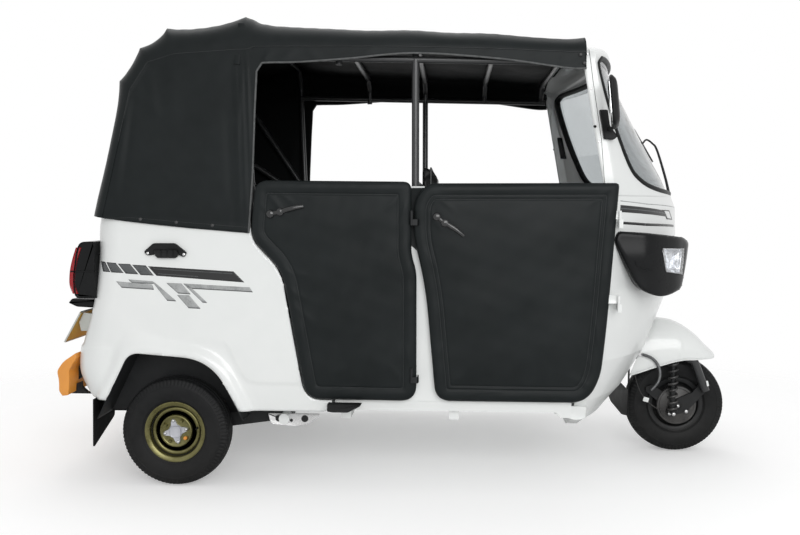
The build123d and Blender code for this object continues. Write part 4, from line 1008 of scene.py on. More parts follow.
# %% Door outlines, from the rear axle, the B pillar and the front axle
rear_door_outline = rounded(
    np.concatenate([
        line(REAR, (319, 1140), (298, 932), (413, 813), (497, 341)),
        line(PILLAR, (6, 337), (6, 812), (-13, 872), (-13, 1134)),
    ]),
    np.array([46, 50, 60, 58, 60, 30, 30, 30]) / 1000, 9,
)
front_door_outline = rounded(
    np.concatenate([
        line(PILLAR, (44, 1128), (-3, 1066), (-3, 928), (38, 762), (76, 340)),
        line(FRONT, (-470, 338), (-420, 430), (-400, 620), (-364, 1128)),
    ]),
    np.array([34, 40, 50, 110, 52, 58, 50, 90, 14]) / 1000, 9,
)
DOOR_INNER, DOOR_OUTER = 0.620, 0.648
DOOR_HINGE_Y = 0.654
print("door outlines", len(rear_door_outline), len(front_door_outline))


# %% Distance rings
def distance_rings(outline, depths, centre, spokes):
    """Points at given distances inside an outline. Each spoke runs from the outline to the
    centre; the distance from the outline is read along it and turned round, to find how far
    along the spoke each wanted distance lies."""
    rim = evenly(outline, spokes, closed=True)
    s = np.linspace(0, 1, 90) ** 1.4
    rays = rim[:, None] + s[None, :, None] * (centre - rim)[:, None]
    gap, _ = edge_distance(rays.reshape(-1, 2), outline)
    gap = np.maximum.accumulate(np.maximum(-gap.reshape(spokes, -1), 0), axis=1)
    gap += np.linspace(0, 1e-7, gap.shape[1])
    found = np.stack([np.interp(depths, row, s) for row in gap], axis=1)
    return rim[None] + found[..., None] * (centre - rim)[None]


COVER_RIM = 0.015


def door_cover(outline, centre, face, inner, outer, spokes=300):
    """A closed cover: rings run from the middle of the inside, over the rolled rim, to the
    middle of the outside. face(points, depth) gives how far the outside stands proud."""
    near = np.concatenate([COVER_RIM * (1 - np.cos(np.linspace(0, np.pi / 2, 7))),
                           np.linspace(0.018, 0.066, 17)])
    rings = distance_rings(outline, near, centre, spokes)
    steps = np.linspace(0, 1, 27)[1:]
    fill = rings[-1][None] + steps[:, None, None] * (centre - rings[-1])[None]
    rings = np.concatenate([rings, fill])
    depth, _ = edge_distance(rings.reshape(-1, 2), outline)
    depth = np.maximum(-depth.reshape(rings.shape[:2]), 0)
    depth[0] = 0
    half = (outer - inner) / 2
    roll = half * np.sqrt(np.clip(1 - (1 - np.minimum(depth / COVER_RIM, 1)) ** 2, 0, 1))
    proud = face(rings.reshape(-1, 2), depth.ravel()).reshape(depth.shape)
    grow = np.clip(depth / 0.012, 0, 1)
    out_y = (inner + outer) / 2 + roll + proud * grow
    in_y = (inner + outer) / 2 - roll
    outside = np.concatenate([rings, out_y[..., None]], axis=-1)
    inside = np.concatenate([rings, in_y[..., None]], axis=-1)
    return np.concatenate([inside[:0:-2], inside[1:2], outside])[..., (0, 2, 1)]


# %% Door faces
def bump_at(distance, at, width):
    """A ridge exp(-((distance - at) / width)^2)."""
    return np.exp(-(((distance - at) / width) ** 2))


def door_face(sewn, rim, swell, folds, waves):
    """The face of a cover, by the distance from its outline: channels pulled down where it is
    sewn, a roll at the rim, a panel that swells towards its middle, folds and slack."""
    places, sewn_width, sewn_depth = sewn

    def face(points, depth):
        """How far the cover stands proud at points that lie at a depth inside its outline."""
        channel = -sewn_depth * sum(bump_at(depth, at, sewn_width) for at in places)
        panel = swell[0] * (1 - np.exp(-np.maximum(depth - swell[1], 0) / swell[2]))
        return (channel + rim[0] * bump_at(depth, *rim[1:]) + panel + fold_field(points, folds)
                + slack(points[:, 0], points[:, 1], *waves[0])
                + slack(points[:, 1], points[:, 0], *waves[1]))

    return face


rear_door_folds = station_folds(
    REAR,
    ((365, 1100), (430, 1010), 9, 2.6), ((390, 1108), (470, 1050), 8, 1.8),
    ((330, 1060), (395, 1000), 8, 1.8), ((860, 1098), (790, 1030), 9, 2.0),
    ((872, 1070), (830, 960), 8, 1.6), ((430, 750), (520, 700), 12, 2.2),
    ((445, 700), (540, 610), 12, 2.0), ((400, 820), (520, 790), 13, 1.8),
    ((560, 420), (660, 470), 10, 2.0), ((600, 372), (700, 400), 8, 1.8),
    ((870, 400), (800, 470), 10, 2.0), ((885, 450), (860, 560), 8, 1.4),
    ((480, 640), (500, 520), 8, 1.6), ((640, 980), (760, 1000), 26, 1.4),
    ((560, 560), (640, 760), 34, 1.6),
)


front_door_folds = station_folds(
    REAR,
    ((955, 1100), (1040, 1030), 9, 2.2), ((935, 1050), (990, 960), 8, 1.8),
    ((1590, 1110), (1500, 1040), 9, 2.4), ((1600, 1060), (1560, 930), 8, 1.6),
    ((1000, 380), (1080, 450), 9, 2.0), ((970, 470), (1010, 580), 8, 1.6),
    ((1530, 400), (1440, 440), 9, 2.2), ((1560, 520), (1530, 700), 9, 1.8),
    ((1545, 450), (1480, 560), 10, 1.6), ((930, 900), (985, 800), 9, 1.6),
    ((1100, 372), (1250, 388), 8, 1.2), ((1180, 1000), (1350, 1020), 30, 1.4),
    ((1150, 600), (1330, 780), 40, 1.5),
)


rear_seams, front_seams = (0.047,), (0.043, 0.057)
rear_door_face = door_face(
    (rear_seams, 0.0034, 0.0030), (0.0022, 0.026, 0.013), (0.0050, 0.049, 0.05),
    rear_door_folds, ((0.23, 0.0022, 0.5), (0.075, 0.0006, 2.5)))
front_door_face = door_face(
    (front_seams, 0.0030, 0.0026), (0.0020, 0.024, 0.012), (0.0052, 0.059, 0.06),
    front_door_folds, ((0.27, 0.0022, 3.1), (0.08, 0.0006, 1.5)))
print("door folds", len(rear_door_folds), len(front_door_folds))


# %% Hinges and latches
def door_hinge(x, height, reach, side):
    """A knuckle turned about an upright pin and a leaf that runs back over the cover."""
    a = np.linspace(0, 2 * np.pi, 20, endpoint=False)
    rows = np.array([(0, 0.0044), (0.0006, 0.005), (0.0294, 0.005), (0.030, 0.0044)])
    ring = np.stack([np.cos(a), side * np.sin(a)], axis=1)
    points = np.concatenate([
        (x, side * DOOR_HINGE_Y) + rows[:, None, 1:] * ring[None],
        np.broadcast_to(height + rows[:, None, :1], (len(rows), len(a), 1)),
    ], axis=-1)
    knuckle = capped(*grid(points, close_columns=True), len(a))
    leaf = slab("side", rounded([(x - reach, height), (x, height), (x, height + 0.030),
                                 (x - reach, height + 0.030)], 0.002, 3),
                side * 0.6370, side * 0.6420, 0.001, 3)
    return join(knuckle, leaf)


def latch(knob, pivot, end, side):
    """Two turned bosses on the cover, and a bent lever from the pivot, thin at its end."""
    boss = np.array([(-0.002, 0.016), (0.0, 0.0165), (0.004, 0.0145), (0.011, 0.013),
                     (0.0135, 0.009)]) * (side, 1)
    parts = [turned(boss, (p[0], side * DOOR_OUTER, p[1]), 24) for p in (knob, pivot)]
    s = np.linspace(0, 1, 14)[:, None]
    flat = pivot + s * (end - pivot) + np.sin(np.pi * s) * (0, 0.003)
    y = side * (DOOR_OUTER + 0.008 + 0.004 * np.sin(np.pi * s[:, 0]))
    path = np.stack([flat[:, 0], y, flat[:, 1]], axis=1)
    width = 0.0088 * (1 - 0.35 * s[:, 0] ** 2)
    parts.append(tube(path, width, 12, (0, 0, 1), 0.55))
    bar = np.stack([np.linspace(knob[0], pivot[0], 6), np.full(6, side * (DOOR_OUTER + 0.006)),
                    np.linspace(knob[1], pivot[1], 6)], axis=1)
    parts.append(tube(bar, 0.0075, 10, (0, 0, 1), 0.6))
    return join(*parts)


# %% Build the four doors
door_jobs = (
    ("rear", rear_door_outline, rear_door_face, np.array([REAR + 0.640, 0.78]),
     (PILLAR - 0.011, (0.430, 1.000), 0.030),
     line(PILLAR, (-522, 1018), (-486, 1025), (-401, 1045)), rear_seams, black_paint),
    ("front", front_door_outline, front_door_face, np.array([REAR + 1.260, 0.74]),
     (FRONT - 0.363, (0.700, 1.000), 0.060),
     line(PILLAR, (79, 1008), (108, 986), (176, 940)), front_seams, white_paint),
)
for label, outline, face, centre, hinge, lever, seams, hinge_paint in door_jobs:
    cover = door_cover(outline, centre, face, DOOR_INNER, DOOR_OUTER)
    marks = distance_rings(outline, np.array(seams), centre, 300)
    for side_name, side in SIDES:
        body_name = f"{label}_door_{side_name}"
        skin = piece(f"{body_name}_cover", grid(cover * (1, side, 1), close_columns=True),
                     body_name, vinyl, [body_name], crease=70)
        for k, mark in enumerate(marks):
            proud = face(mark, np.full(len(mark), seams[k]))
            path = np.stack([mark[:, 0], side * (DOOR_OUTER + proud + 0.0004), mark[:, 1]], axis=1)
            piece(f"{body_name}_stitch_{k}", stitches(path, (0, side, 0), closed=True),
                  body_name, thread, outward=False)
        piece(f"{body_name}_hinges",
              join(*[door_hinge(hinge[0], h, hinge[2], side) for h in hinge[1]]),
              body_name, hinge_paint)
        piece(f"{body_name}_latch", latch(*lever, side), body_name, latch_black)
    print(label, "door", cover.shape)
# %% [markdown]
# ## Tub
# The rear body is pressed steel, painted white. Seen from above it is a straight side, a
# quarter round corner and a flat back, and both its width and its back change with height. So
# the panel is unrolled: p runs along the side, round the corner and across the back, and every
# cut, decal and crease is drawn on that unrolled sheet before it is bent round.

# %% Tub levels: height, back and half width
tub_levels = np.array([
    (0.260, -0.290, 0.628), (0.345, -0.345, 0.633), (0.415, -0.377, 0.635),
    (0.500, -0.377, 0.636), (0.633, -0.339, 0.636), (0.849, -0.304, 0.631),
    (0.990, -0.300, 0.622), (1.060, -0.286, 0.619),
])
TUB_CORNER = 0.110
TUB_CELL = 0.0078


def smoothstep(t):
    """0 before 0, 1 after 1, and 3t^2 - 2t^3 between."""
    t = np.clip(t, 0, 1)
    return t * t * (3 - 2 * t)


def tub_back(z):
    """How far back the tub reaches at a height."""
    return REAR + smooth(z, tub_levels[:, 0], tub_levels[:, 1])


def tub_width(z):
    """The tub's half width at a height."""
    return smooth(z, tub_levels[:, 0], tub_levels[:, 2])


def tub_point(p, z, lift=0.0):
    """Bend the unrolled sheet: forward of the corner a point is (p, width, z); round the
    corner it turns by its distance past the side over the corner's radius; beyond that it runs
    across the back. lift moves it along the outward normal."""
    back, width = tub_back(z), tub_width(z)
    past = back + TUB_CORNER - p
    angle = np.clip(past / TUB_CORNER, 0, np.pi / 2)
    x = np.where(past <= 0, p, back + TUB_CORNER * (1 - np.sin(angle))) - lift * np.sin(angle)
    y = (width - TUB_CORNER * (1 - np.cos(angle))
         - np.maximum(past - TUB_CORNER * np.pi / 2, 0) + lift * np.cos(angle))
    return np.stack([x, y, z], axis=-1)


def tub_place_of(y, z):
    """The unrolled place p of a point on the flat back at a given y."""
    return tub_back(z) + TUB_CORNER - (TUB_CORNER * np.pi / 2 + tub_width(z) - TUB_CORNER - y)


# %% Tub outlines
arch_outline = rounded(
    line(REAR, (-300, 220), (-268, 285), (-158, 508), (150, 484), (252, 285), (285, 220)),
    np.array([2, 30, 42, 110, 30, 2]) / 1000, 12,
)
door_hole = shrink(evenly(rear_door_outline, step=0.008, closed=True), -0.006)
tub_edge = np.concatenate([
    line(REAR, (-1600, 329), (-255, 329), (231, 292), (562, 291), (592, 304), (592, 420),
         (330, 965), (107, 979), (-79, 997), (-230, 1013), (-300, 1017), (-1600, 1017)),
])
lid_outline = rounded([(-0.3, 0.5), (0.3, 0.5), (0.3, 0.79), (-0.3, 0.79)], 0.03, 8)
lid_hole = shrink(lid_outline, -0.006)
raised_edge = line(REAR, (185, 575), (215, 522), (237, 473), (262, 425), (288, 404), (327, 400),
                   (700, 397), (700, 100), (-60, 100), (-60, 575))


def tub_relief(p, z):
    """How far the sheet stands off its plain shape: a flare round the arch, a soft step behind
    the arch and a raised area ahead of it, each a smooth step of the distance to its line."""
    flat = np.stack([p, z], axis=1)
    off_arch, _ = edge_distance(flat, arch_outline)
    wide = 0.040 + 0.034 * bump_at(p - REAR, -0.13, 0.10) * smoothstep((z - 0.45) / 0.08)
    flare = 0.0185 * (1 - smoothstep((off_arch - 0.014) / wide))
    off_raised, _ = edge_distance(flat, raised_edge)
    low_area = -0.0035 * smoothstep(-off_raised / 0.010) * smoothstep((0.565 - z) / 0.05)
    low_area *= smoothstep((off_arch - 0.03) / 0.05)
    ledge = 0.0065 * smoothstep((0.533 - z) / 0.016) * smoothstep((REAR - 0.205 - p) / 0.07)
    rolled_edge = 0.0012 * bump_at(z, 0.345, 0.006) * (p < REAR - 0.2)
    return flare + low_area + ledge + rolled_edge


# %% Tub sheet
rows_z = np.linspace(0.285, 1.030, 100)[:, None]
side_share = np.linspace(1, 0, 124)[None]
corner_turn = np.linspace(0, 1, 24)[None, 1:]
back_share = np.linspace(0, 1, 50)[None, 1:]
side_start = tub_back(rows_z) + TUB_CORNER
back_run = tub_width(rows_z) - TUB_CORNER
p_sheet = np.concatenate([
    side_start + side_share * (REAR + 0.620 - side_start),
    side_start - corner_turn * TUB_CORNER * np.pi / 2,
    side_start - TUB_CORNER * np.pi / 2 - back_share * back_run,
], axis=1)
z_sheet = np.broadcast_to(rows_z, p_sheet.shape)
flat = np.stack([p_sheet, z_sheet], axis=-1).reshape(-1, 2)
quads = flat_grid(*p_sheet.shape)
flat, quads = trimmed(flat, quads, arch_outline, TUB_CELL)
flat, quads = trimmed(flat, quads, door_hole, TUB_CELL)
flat, quads = trimmed(flat, quads, tub_edge, TUB_CELL, keep_outside=False)
end_on = tub_point(flat[:, 0], flat[:, 1])
moved, quads = trimmed(end_on[:, 1:], quads, lid_hole, 0.0095)
shifted = np.linalg.norm(moved - end_on[:, 1:], axis=1) > 1e-7
flat[shifted, 0] = tub_place_of(moved[shifted, 0], moved[shifted, 1])
flat[shifted, 1] = moved[shifted, 1]
tub_half = tub_point(flat[:, 0], flat[:, 1], tub_relief(flat[:, 0], flat[:, 1]))
tub_half[np.abs(tub_half[:, 1]) < 1e-4, 1] = 0
tub = piece("tub_panel",
            used_only(*join((tub_half, [quads]), (tub_half * (1, -1, 1), [quads[:, ::-1]]))),
            "body", white_paint, ["rear_body"], crease=50, wall=0.003,
            lining=under_paint)
print("tub faces", len(tub.data.polygons))

# %% Wheel housings
arch_line = evenly(arch_outline[12:-12], step=0.012)
for side_name, side in SIDES:
    across = np.array([0.513, 0.53, 0.56, 0.59, 0.62, 0.645, 0.6525]) * side
    wrap = place("side", arch_line[:, :1], arch_line[:, 1:], across[None])
    wall_face = np.stack([arch_line[:, 0], np.full(len(arch_line), across[0]), arch_line[:, 1]], 1)
    piece(f"wheel_housing_{side_name}",
          join(grid(wrap), (wall_face, [np.arange(len(wall_face))[None]])),
          "body", black_paint, crease=50, wall=0.002, outward=True, offset=0.0)

# %% Engine lid
lid_rows = np.linspace(0.492, 0.798, 60)[:, None]
lid_columns = np.linspace(-0.31, 0.31, 120)[None]
lid_yz = np.stack(np.broadcast_arrays(lid_columns, lid_rows), axis=-1).reshape(-1, 2)
lid_yz, lid_quads = trimmed(lid_yz, flat_grid(60, 120), lid_outline, 0.0052, keep_outside=False)
inside_lid, _ = edge_distance(lid_yz, lid_outline)
panel = -0.0045 * smoothstep((-inside_lid - 0.022) / 0.012)
louvre_at = np.arange(5) * 0.034 + 0.575
louvre = sum(bump_at(lid_yz[:, 1], at, 0.006) for at in louvre_at)
louvre = 0.0075 * louvre * smoothstep((0.215 - np.abs(lid_yz[:, 0])) / 0.012)
lid_x = tub_back(lid_yz[:, 1]) - panel - louvre - 0.001
piece("engine_lid_panel",
      used_only(np.stack([lid_x, lid_yz[:, 0], lid_yz[:, 1]], axis=1), [lid_quads]),
      "engine_lid", white_paint, ["engine_lid"], crease=50, wall=0.003,
      lining=under_paint, outward=False, offset=1.0)
lid_hinge = np.array([REAR - 0.320, 0.794])
pin_ring = np.array([(-0.015, 0.0042), (-0.0145, 0.005), (0.0145, 0.005), (0.015, 0.0042)])


def lid_hinges(name, body, leaf, places):
    """Knuckles on the lid's pin, each with a leaf 30 mm wide."""
    knuckles = [turned(pin_ring, (lid_hinge[0], y, lid_hinge[1]), 18) for y in places]
    leaves = [slab("side", lid_hinge + np.array(leaf), y - 0.015, y + 0.015, 0.0005, 2)
              for y in places]
    piece(name, join(*knuckles, *leaves), body, black_paint)


lid_hinges("engine_lid_hinges", "engine_lid",
           [(-0.003, 0), (0.003, 0), (0.003, -0.030), (-0.002, -0.030)], (0.185, -0.215))
lid_hinges("engine_lid_brackets", "body",
           [(-0.003, 0), (0.003, 0), (0.013, 0.031), (0.008, 0.031)], (0.1547, -0.2453))
CATCH_Z = 0.532
catch = np.array([(-0.002, 0.016), (0.004, 0.016), (0.006, 0.013), (0.012, 0.010), (0.014, 0.006)])
catch_shape = transform(turned(catch, (0, 0, 0), 28), (-1, 1, 1),
                        (tub_back(CATCH_Z), 0, CATCH_Z), (1, 0, 2))
piece("engine_lid_catch", catch_shape, "engine_lid", black_plastic)
print("lid made")

# %% [markdown]
# ## Side stripes and vent
# The stripes are cut vinyl film, so they are patches of the tub's own surface lifted by half a
# millimetre. Each patch is a four-sided shape filled by blending its corners. They carry no
# lettering. The vent is a moulded cowl on two screw ears.

# %% Film patches
film_black = finish("film_black", (0.004, 0.0045, 0.005), (0.008, 0.0085, 0.009), (0.25, 0.32),
                    dust=0.0)
film_dark = finish("film_dark", (0.055, 0.060, 0.062), (0.085, 0.09, 0.092), (0.25, 0.32),
                   drift=26, dust=0.0)
film_grey = finish("film_grey", (0.26, 0.27, 0.27), (0.42, 0.43, 0.43), (0.25, 0.32),
                   drift=22, dust=0.0)


def film(corners, surface, lift, cell=0.006):
    """Fill four corners with a grid by blending them, (1-s)(1-t)A + s(1-t)B + stC + (1-s)tD,
    and lay it on a surface."""
    a, b, c, d = (np.asarray(corner, float) for corner in corners)
    n = max(2, int(max(np.linalg.norm(b - a), np.linalg.norm(c - d)) / cell) + 1)
    m = max(2, int(max(np.linalg.norm(d - a), np.linalg.norm(c - b)) / cell) + 1)
    s, t = np.linspace(0, 1, n)[:, None, None], np.linspace(0, 1, m)[None, :, None]
    flat_patch = (1 - s) * (1 - t) * a + s * (1 - t) * b + s * t * c + (1 - s) * t * d
    points = surface(flat_patch[..., 0].ravel(), flat_patch[..., 1].ravel(), lift)
    return grid(points.reshape(n, m, 3))


def grown(corners, by):
    """Corners moved outwards by a distance."""
    return shrink(np.asarray(corners, float), -by)


def on_tub(p, z, lift):
    """A point of the tub's relief, for film()."""
    return tub_point(p, z, tub_relief(p, z) + lift)


def films(name, patches, surface, lift, material):
    """Lay one colour of film on both sides of the vehicle."""
    shape = join(*[film(corners, surface, lift) for corners in patches])
    thing = piece(name, join(shape, transform(shape, (1, -1, 1))), "body", material,
                  outward=False, wall=0.0003)
    work = bmesh.new()
    work.from_mesh(thing.data)
    inwards = [face for face in work.faces if face.normal.y * face.calc_center_median().y < 0]
    bmesh.ops.reverse_faces(work, faces=inwards)
    work.to_mesh(thing.data)
    work.free()


# %% Side stripes, from the rear axle
slanted = [
    line(REAR, (-284, 840), (-258, 838), (-232, 805), (-266, 807)),
    line(REAR, (-246, 838), (-209, 835), (-180, 802), (-223, 805)),
    line(REAR, (-197, 834), (-155, 831), (-124, 797), (-168, 801)),
    line(REAR, (-143, 830), (-96, 826), (-67, 793), (-112, 796)),
]
shadow_blocks = [grown(block, 0.0028) for block in slanted]
long_band = [line(REAR, (-86, 826), (233, 808), (273, 768), (-54, 791))]
inner_line = [
    line(REAR, (-66, 818), (228, 801), (231, 798), (-62, 815)),
    line(REAR, (-50, 800), (100, 790), (103, 787), (-47, 797)),
]
angular = [
    line(REAR, (-206, 770), (-72, 759), (-66, 742), (-187, 749)),
    line(REAR, (-160, 777), (-70, 771), (-59, 764), (-147, 766)),
    line(REAR, (-72, 771), (-58, 764), (17, 700), (-17, 702)),
    line(REAR, (-17, 765), (39, 763), (71, 726), (24, 729)),
    line(REAR, (22, 721), (67, 720), (107, 673), (63, 675)),
    line(REAR, (46, 763), (292, 750), (302, 735), (66, 747)),
    line(REAR, (46, 763), (66, 757), (132, 695), (115, 696)),
]
films("stripe_edges", shadow_blocks + long_band, on_tub, 0.0004, film_black)
films("stripe_blocks", slanted, on_tub, 0.0008, film_dark)
films("stripe_line", inner_line, on_tub, 0.0008, film_dark)
films("stripe_shadow", [patch - (0, 0.003) + (0.002, 0) for patch in angular], on_tub, 0.0003,
      film_dark)
films("stripe_angles", angular, on_tub, 0.0007, film_grey)
print("stripes laid")

# %% Side vents
vent_plate = rounded(line(REAR, (-98, 880), (-62, 911), (17, 911), (61, 877), (52, 860), (36, 866),
                          (22, 874), (-50, 874), (-64, 868), (-86, 866)), 0.006, 5)
vent_box = rounded(line(REAR, (-62, 888), (24, 888), (34, 872), (22, 857), (-46, 857), (-58, 872)),
                   0.006, 5)
for side_name, side in SIDES:
    low, high = side * 0.624, side * 0.6365
    parts = [slab("side", vent_plate, low, high, 0.003, 4),
             slab("side", vent_box, low, side * 0.6425, 0.0035, 4)]
    parts += [slab("side", rounded(line(REAR, (x, 885), (x + 2, 885), (x + 2, 860), (x, 860)),
                                   0.0005, 2), low, side * 0.6445, 0.0005, 2)
              for x in (-34, -12, 10)]
    piece(f"side_vent_{side_name}", join(*parts), "body", black_plastic)
    ears = np.array([(REAR - 0.085, side * 0.6365, 0.8735), (REAR + 0.050, side * 0.6365, 0.870)])
    piece(f"side_vent_screws_{side_name}", studs(ears, (0, side, 0), 0.0052, 0.002), "body",
          bright_steel, outward=False)
print("vents made")

# %% [markdown]
# ## Tail lamps, plate, bumper and flaps
# Each tail lamp is a satin black box with a ridge at mid height and a red lens wrapped over its
# rear face. The plate is a blank yellow sheet on a bracket under a small black lamp. The bumper
# is a bent steel strip in amber paint, and the mud flaps are plain rubber sheet.

# %% Tail lamps
lamp_outline = rounded(line(REAR, (-296, 915), (-352, 915), (-366, 874), (-379, 787), (-378, 729),
                            (-370, 703), (-296, 703)),
                       np.array([2, 22, 20, 20, 18, 16, 2]) / 1000, 7)
lens_back = smooth(np.linspace(0, 1, 30), [0, 0.22, 0.6, 0.85, 1],
                   (REAR * 1000 + np.array([-367, -380, -394, -393, -383])) / 1000)
lens_z = np.linspace(0.893, 0.720, 30)
lens_outline = np.concatenate([np.stack([lens_back, lens_z], 1),
                               np.stack([lens_back + 0.020, lens_z], 1)[::-1]])
for side_name, side in SIDES:
    low, high = side * 0.478, side * 0.604
    ridge = slab("side", rounded(line(REAR, (-300, 806), (-393, 806), (-393, 801), (-300, 801)),
                                 0.001, 3), low - side * 0.0015, high + side * 0.0015, 0.001, 3)
    piece(f"tail_lamp_{side_name}", join(slab("side", lamp_outline, low, high, 0.007, 6), ridge),
          "body", lamp_plastic, ["tail_lamps"])
    piece(f"tail_lens_{side_name}",
          slab("side", lens_outline, low - side * 0.0005, high + side * 0.0005, 0.003, 4), "body",
          red_lens)

# %% Number plate, its bracket and lamp
plate_outline = line(REAR, (-392, 642), (-457, 527), (-453.5, 525), (-388.5, 640))
piece("blank_plate", slab("side", plate_outline, -0.529, -0.331, 0.0006, 2), "body", plate_paint,
      ["number_plate"])
rim_path = np.array([(REAR - 0.3905, 0.6405), (REAR - 0.455, 0.5265)])
rim_ring = np.array([(*rim_path[0], -0.333), (*rim_path[1], -0.333), (*rim_path[1], -0.527),
                     (*rim_path[0], -0.527)])[:, (0, 2, 1)]
rim_ring = evenly(rim_ring, step=0.01, closed=True)
piece("plate_rim",
      strip(rim_ring, box_section(0.006, 0.0055, 0.001), (-0.87, 0, 0.49), closed=True),
      "body", plate_back)
bracket_outline = rounded(line(REAR, (-386, 638), (-405, 600), (-398, 566), (-345, 566),
                               (-330, 630)), 0.004, 4)
piece("plate_brackets",
      join(*[slab("side", bracket_outline, y - 0.002, y + 0.002, 0.0006, 2)
             for y in (-0.508, -0.352)]), "body", plate_back)
lamp_cap = rounded(line(REAR, (-440, 676), (-426, 693), (-330, 689), (-330, 657), (-407, 661)),
                   np.array([5, 6, 1, 1, 6]) / 1000, 5)
piece("plate_lamp", join(slab("side", lamp_cap, -0.524, -0.340, 0.005, 5),
                         slab("side", shrink(lamp_cap, 0.006), -0.527, -0.337, 0.002, 3)),
      "body", lamp_plastic)

# %% Bumper
bumper_outline = rounded(line(REAR, (-380, 496), (-432, 461), (-456, 426), (-449, 388),
                              (-450, 350), (-438, 331), (-414, 334), (-409, 400), (-410, 428),
                              (-380, 476)),
                         np.array([4, 16, 12, 14, 8, 5, 6, 14, 12, 4]) / 1000, 6)
piece("bumper_strip", slab("side", bumper_outline, -0.600, 0.600, 0.0015, 3), "body",
      amber_paint, ["rear_bumper"])
stay_outline = line(REAR, (-438, 424), (-435, 348), (-380, 415), (-377.3, 470))
piece("bumper_stays", join(*[slab("side", stay_outline, y - 0.015, y + 0.015, 0.001, 2)
                             for y in (-0.5, 0.5)]), "body", black_paint)
foot_outline = rounded(line(REAR, (-452, 350), (-395, 372), (-395, 352), (-372, 331), (-300, 331),
                            (-300, 326), (-452, 326)), 0.003, 4)
piece("bumper_feet", join(*[slab("side", foot_outline, y - 0.012, y + 0.012, 0.001, 2)
                            for y in (-0.52, 0.52)]), "body", black_paint)

# %% Rear mud flaps
flap_outline = rounded([(0.440, 0.3287), (0.640, 0.3287), (0.640, 0.146), (0.440, 0.222)],
                       np.array([2, 2, 12, 12]) / 1000, 5)
for side_name, side in SIDES:
    shape = slab("end", flap_outline * (side, 1), REAR - 0.303, REAR - 0.298, 0.001, 3)
    bend = 0.004 * ((0.3287 - shape[0][:, 2]) / 0.18) ** 2
    ribs = [slab("end", rounded([(side * (y - 0.003), 0.31), (side * (y + 0.003), 0.31),
                                 (side * (y + 0.003), 0.235), (side * (y - 0.003), 0.235)],
                                0.001, 2), REAR - 0.3045, REAR - 0.302, 0.0008, 2)
            for y in (0.47, 0.50, 0.53, 0.56, 0.59)]
    shape = join((shape[0] - np.stack([bend, 0 * bend, 0 * bend], 1), shape[1]), *ribs)
    bolts = np.array([(REAR - 0.303, side * y, 0.318) for y in (0.455, 0.54, 0.625)])
    piece(f"mud_flap_{side_name}", shape, "body", flap_rubber, ["rear_mud_flaps"])
    piece(f"mud_flap_bolts_{side_name}", studs(bolts, (-1, 0, 0), 0.006, 0.004), "body",
          dark_steel, outward=False)
print("rear fittings made")
# %% [markdown]
# ## Cowl and windscreen surround
# The front is one moulded shell from the floor to the header. In plan each level is a short
# straight side and a circular arc through the nose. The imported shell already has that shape, so
# it keeps its surface and gets its paint, and the stripes, seals and screws are laid on it with
# the same arc.

# %% Cowl surface
front_levels = np.array([
    (0.212, -0.515, -0.373, 0.430), (0.262, -0.510, -0.313, 0.560),
    (0.340, -0.505, -0.235, 0.602), (0.486, -0.460, -0.143, 0.612),
    (0.706, -0.436, -0.060, 0.612), (0.930, -0.419, -0.027, 0.612),
    (1.040, -0.414, -0.032, 0.612), (1.086, -0.412, -0.050, 0.612),
    (1.150, -0.420, -0.086, 0.612), (1.350, -0.456, -0.199, 0.606),
    (1.560, -0.493, -0.317, 0.600), (1.600, -0.482, -0.318, 0.596),
    (1.636, -0.482, -0.317, 0.590), (1.662, -0.482, -0.345, 0.560),
    (1.682, -0.482, -0.400, 0.470),
])


def front_width(z):
    """The cowl's half width at a height."""
    return np.interp(z, front_levels[:, 0], front_levels[:, 3])


def front_point(y, z, lift=0.0):
    """A point of the cowl's arc: with h the depth of the arc and w its half width, its radius
    is R = (h^2 + w^2) / 2h, and x = nose - R + sqrt(R^2 - y^2). lift goes along the radius."""
    back = FRONT + 0.042 + np.interp(z, front_levels[:, 0], front_levels[:, 1])
    nose = FRONT + np.interp(z, front_levels[:, 0], front_levels[:, 2])
    width = front_width(z)
    deep = nose - back
    radius = (deep**2 + width**2) / (2 * deep)
    out = np.sqrt(np.maximum(radius**2 - y**2, 0))
    x = nose - radius + out * (1 + lift / radius)
    return np.stack([x, y * (1 + lift / radius), z + 0 * y], axis=-1)


print("nose at 0.93 m", front_point(np.array(0.0), np.array(0.93)).round(4))


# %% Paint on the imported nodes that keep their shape
def refinish(material, *names):
    """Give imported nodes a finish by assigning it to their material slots."""
    for name in names:
        if not nodes[name].material_slots:
            nodes[name].data.materials.append(material)
        for place_for in nodes[name].material_slots:
            place_for.material = material


refinish(white_paint, "front_cowl", "floor_pan", "chassis_frame")
refinish(screen_glass, "windscreen_glass")
refinish(under_paint, "toe_board", "rear_bulkhead")
refinish(black_paint, "trailing_arms", "steering_head", "driver_seat_box", "front_link")
refinish(frame_black, "roof_frame", "steering_stem")
refinish(black_plastic, "dashboard")
refinish(dark_steel, "drive_shafts", "handlebar", "silencer")
refinish(cast_alloy, "engine_block")
print("packed nodes painted")

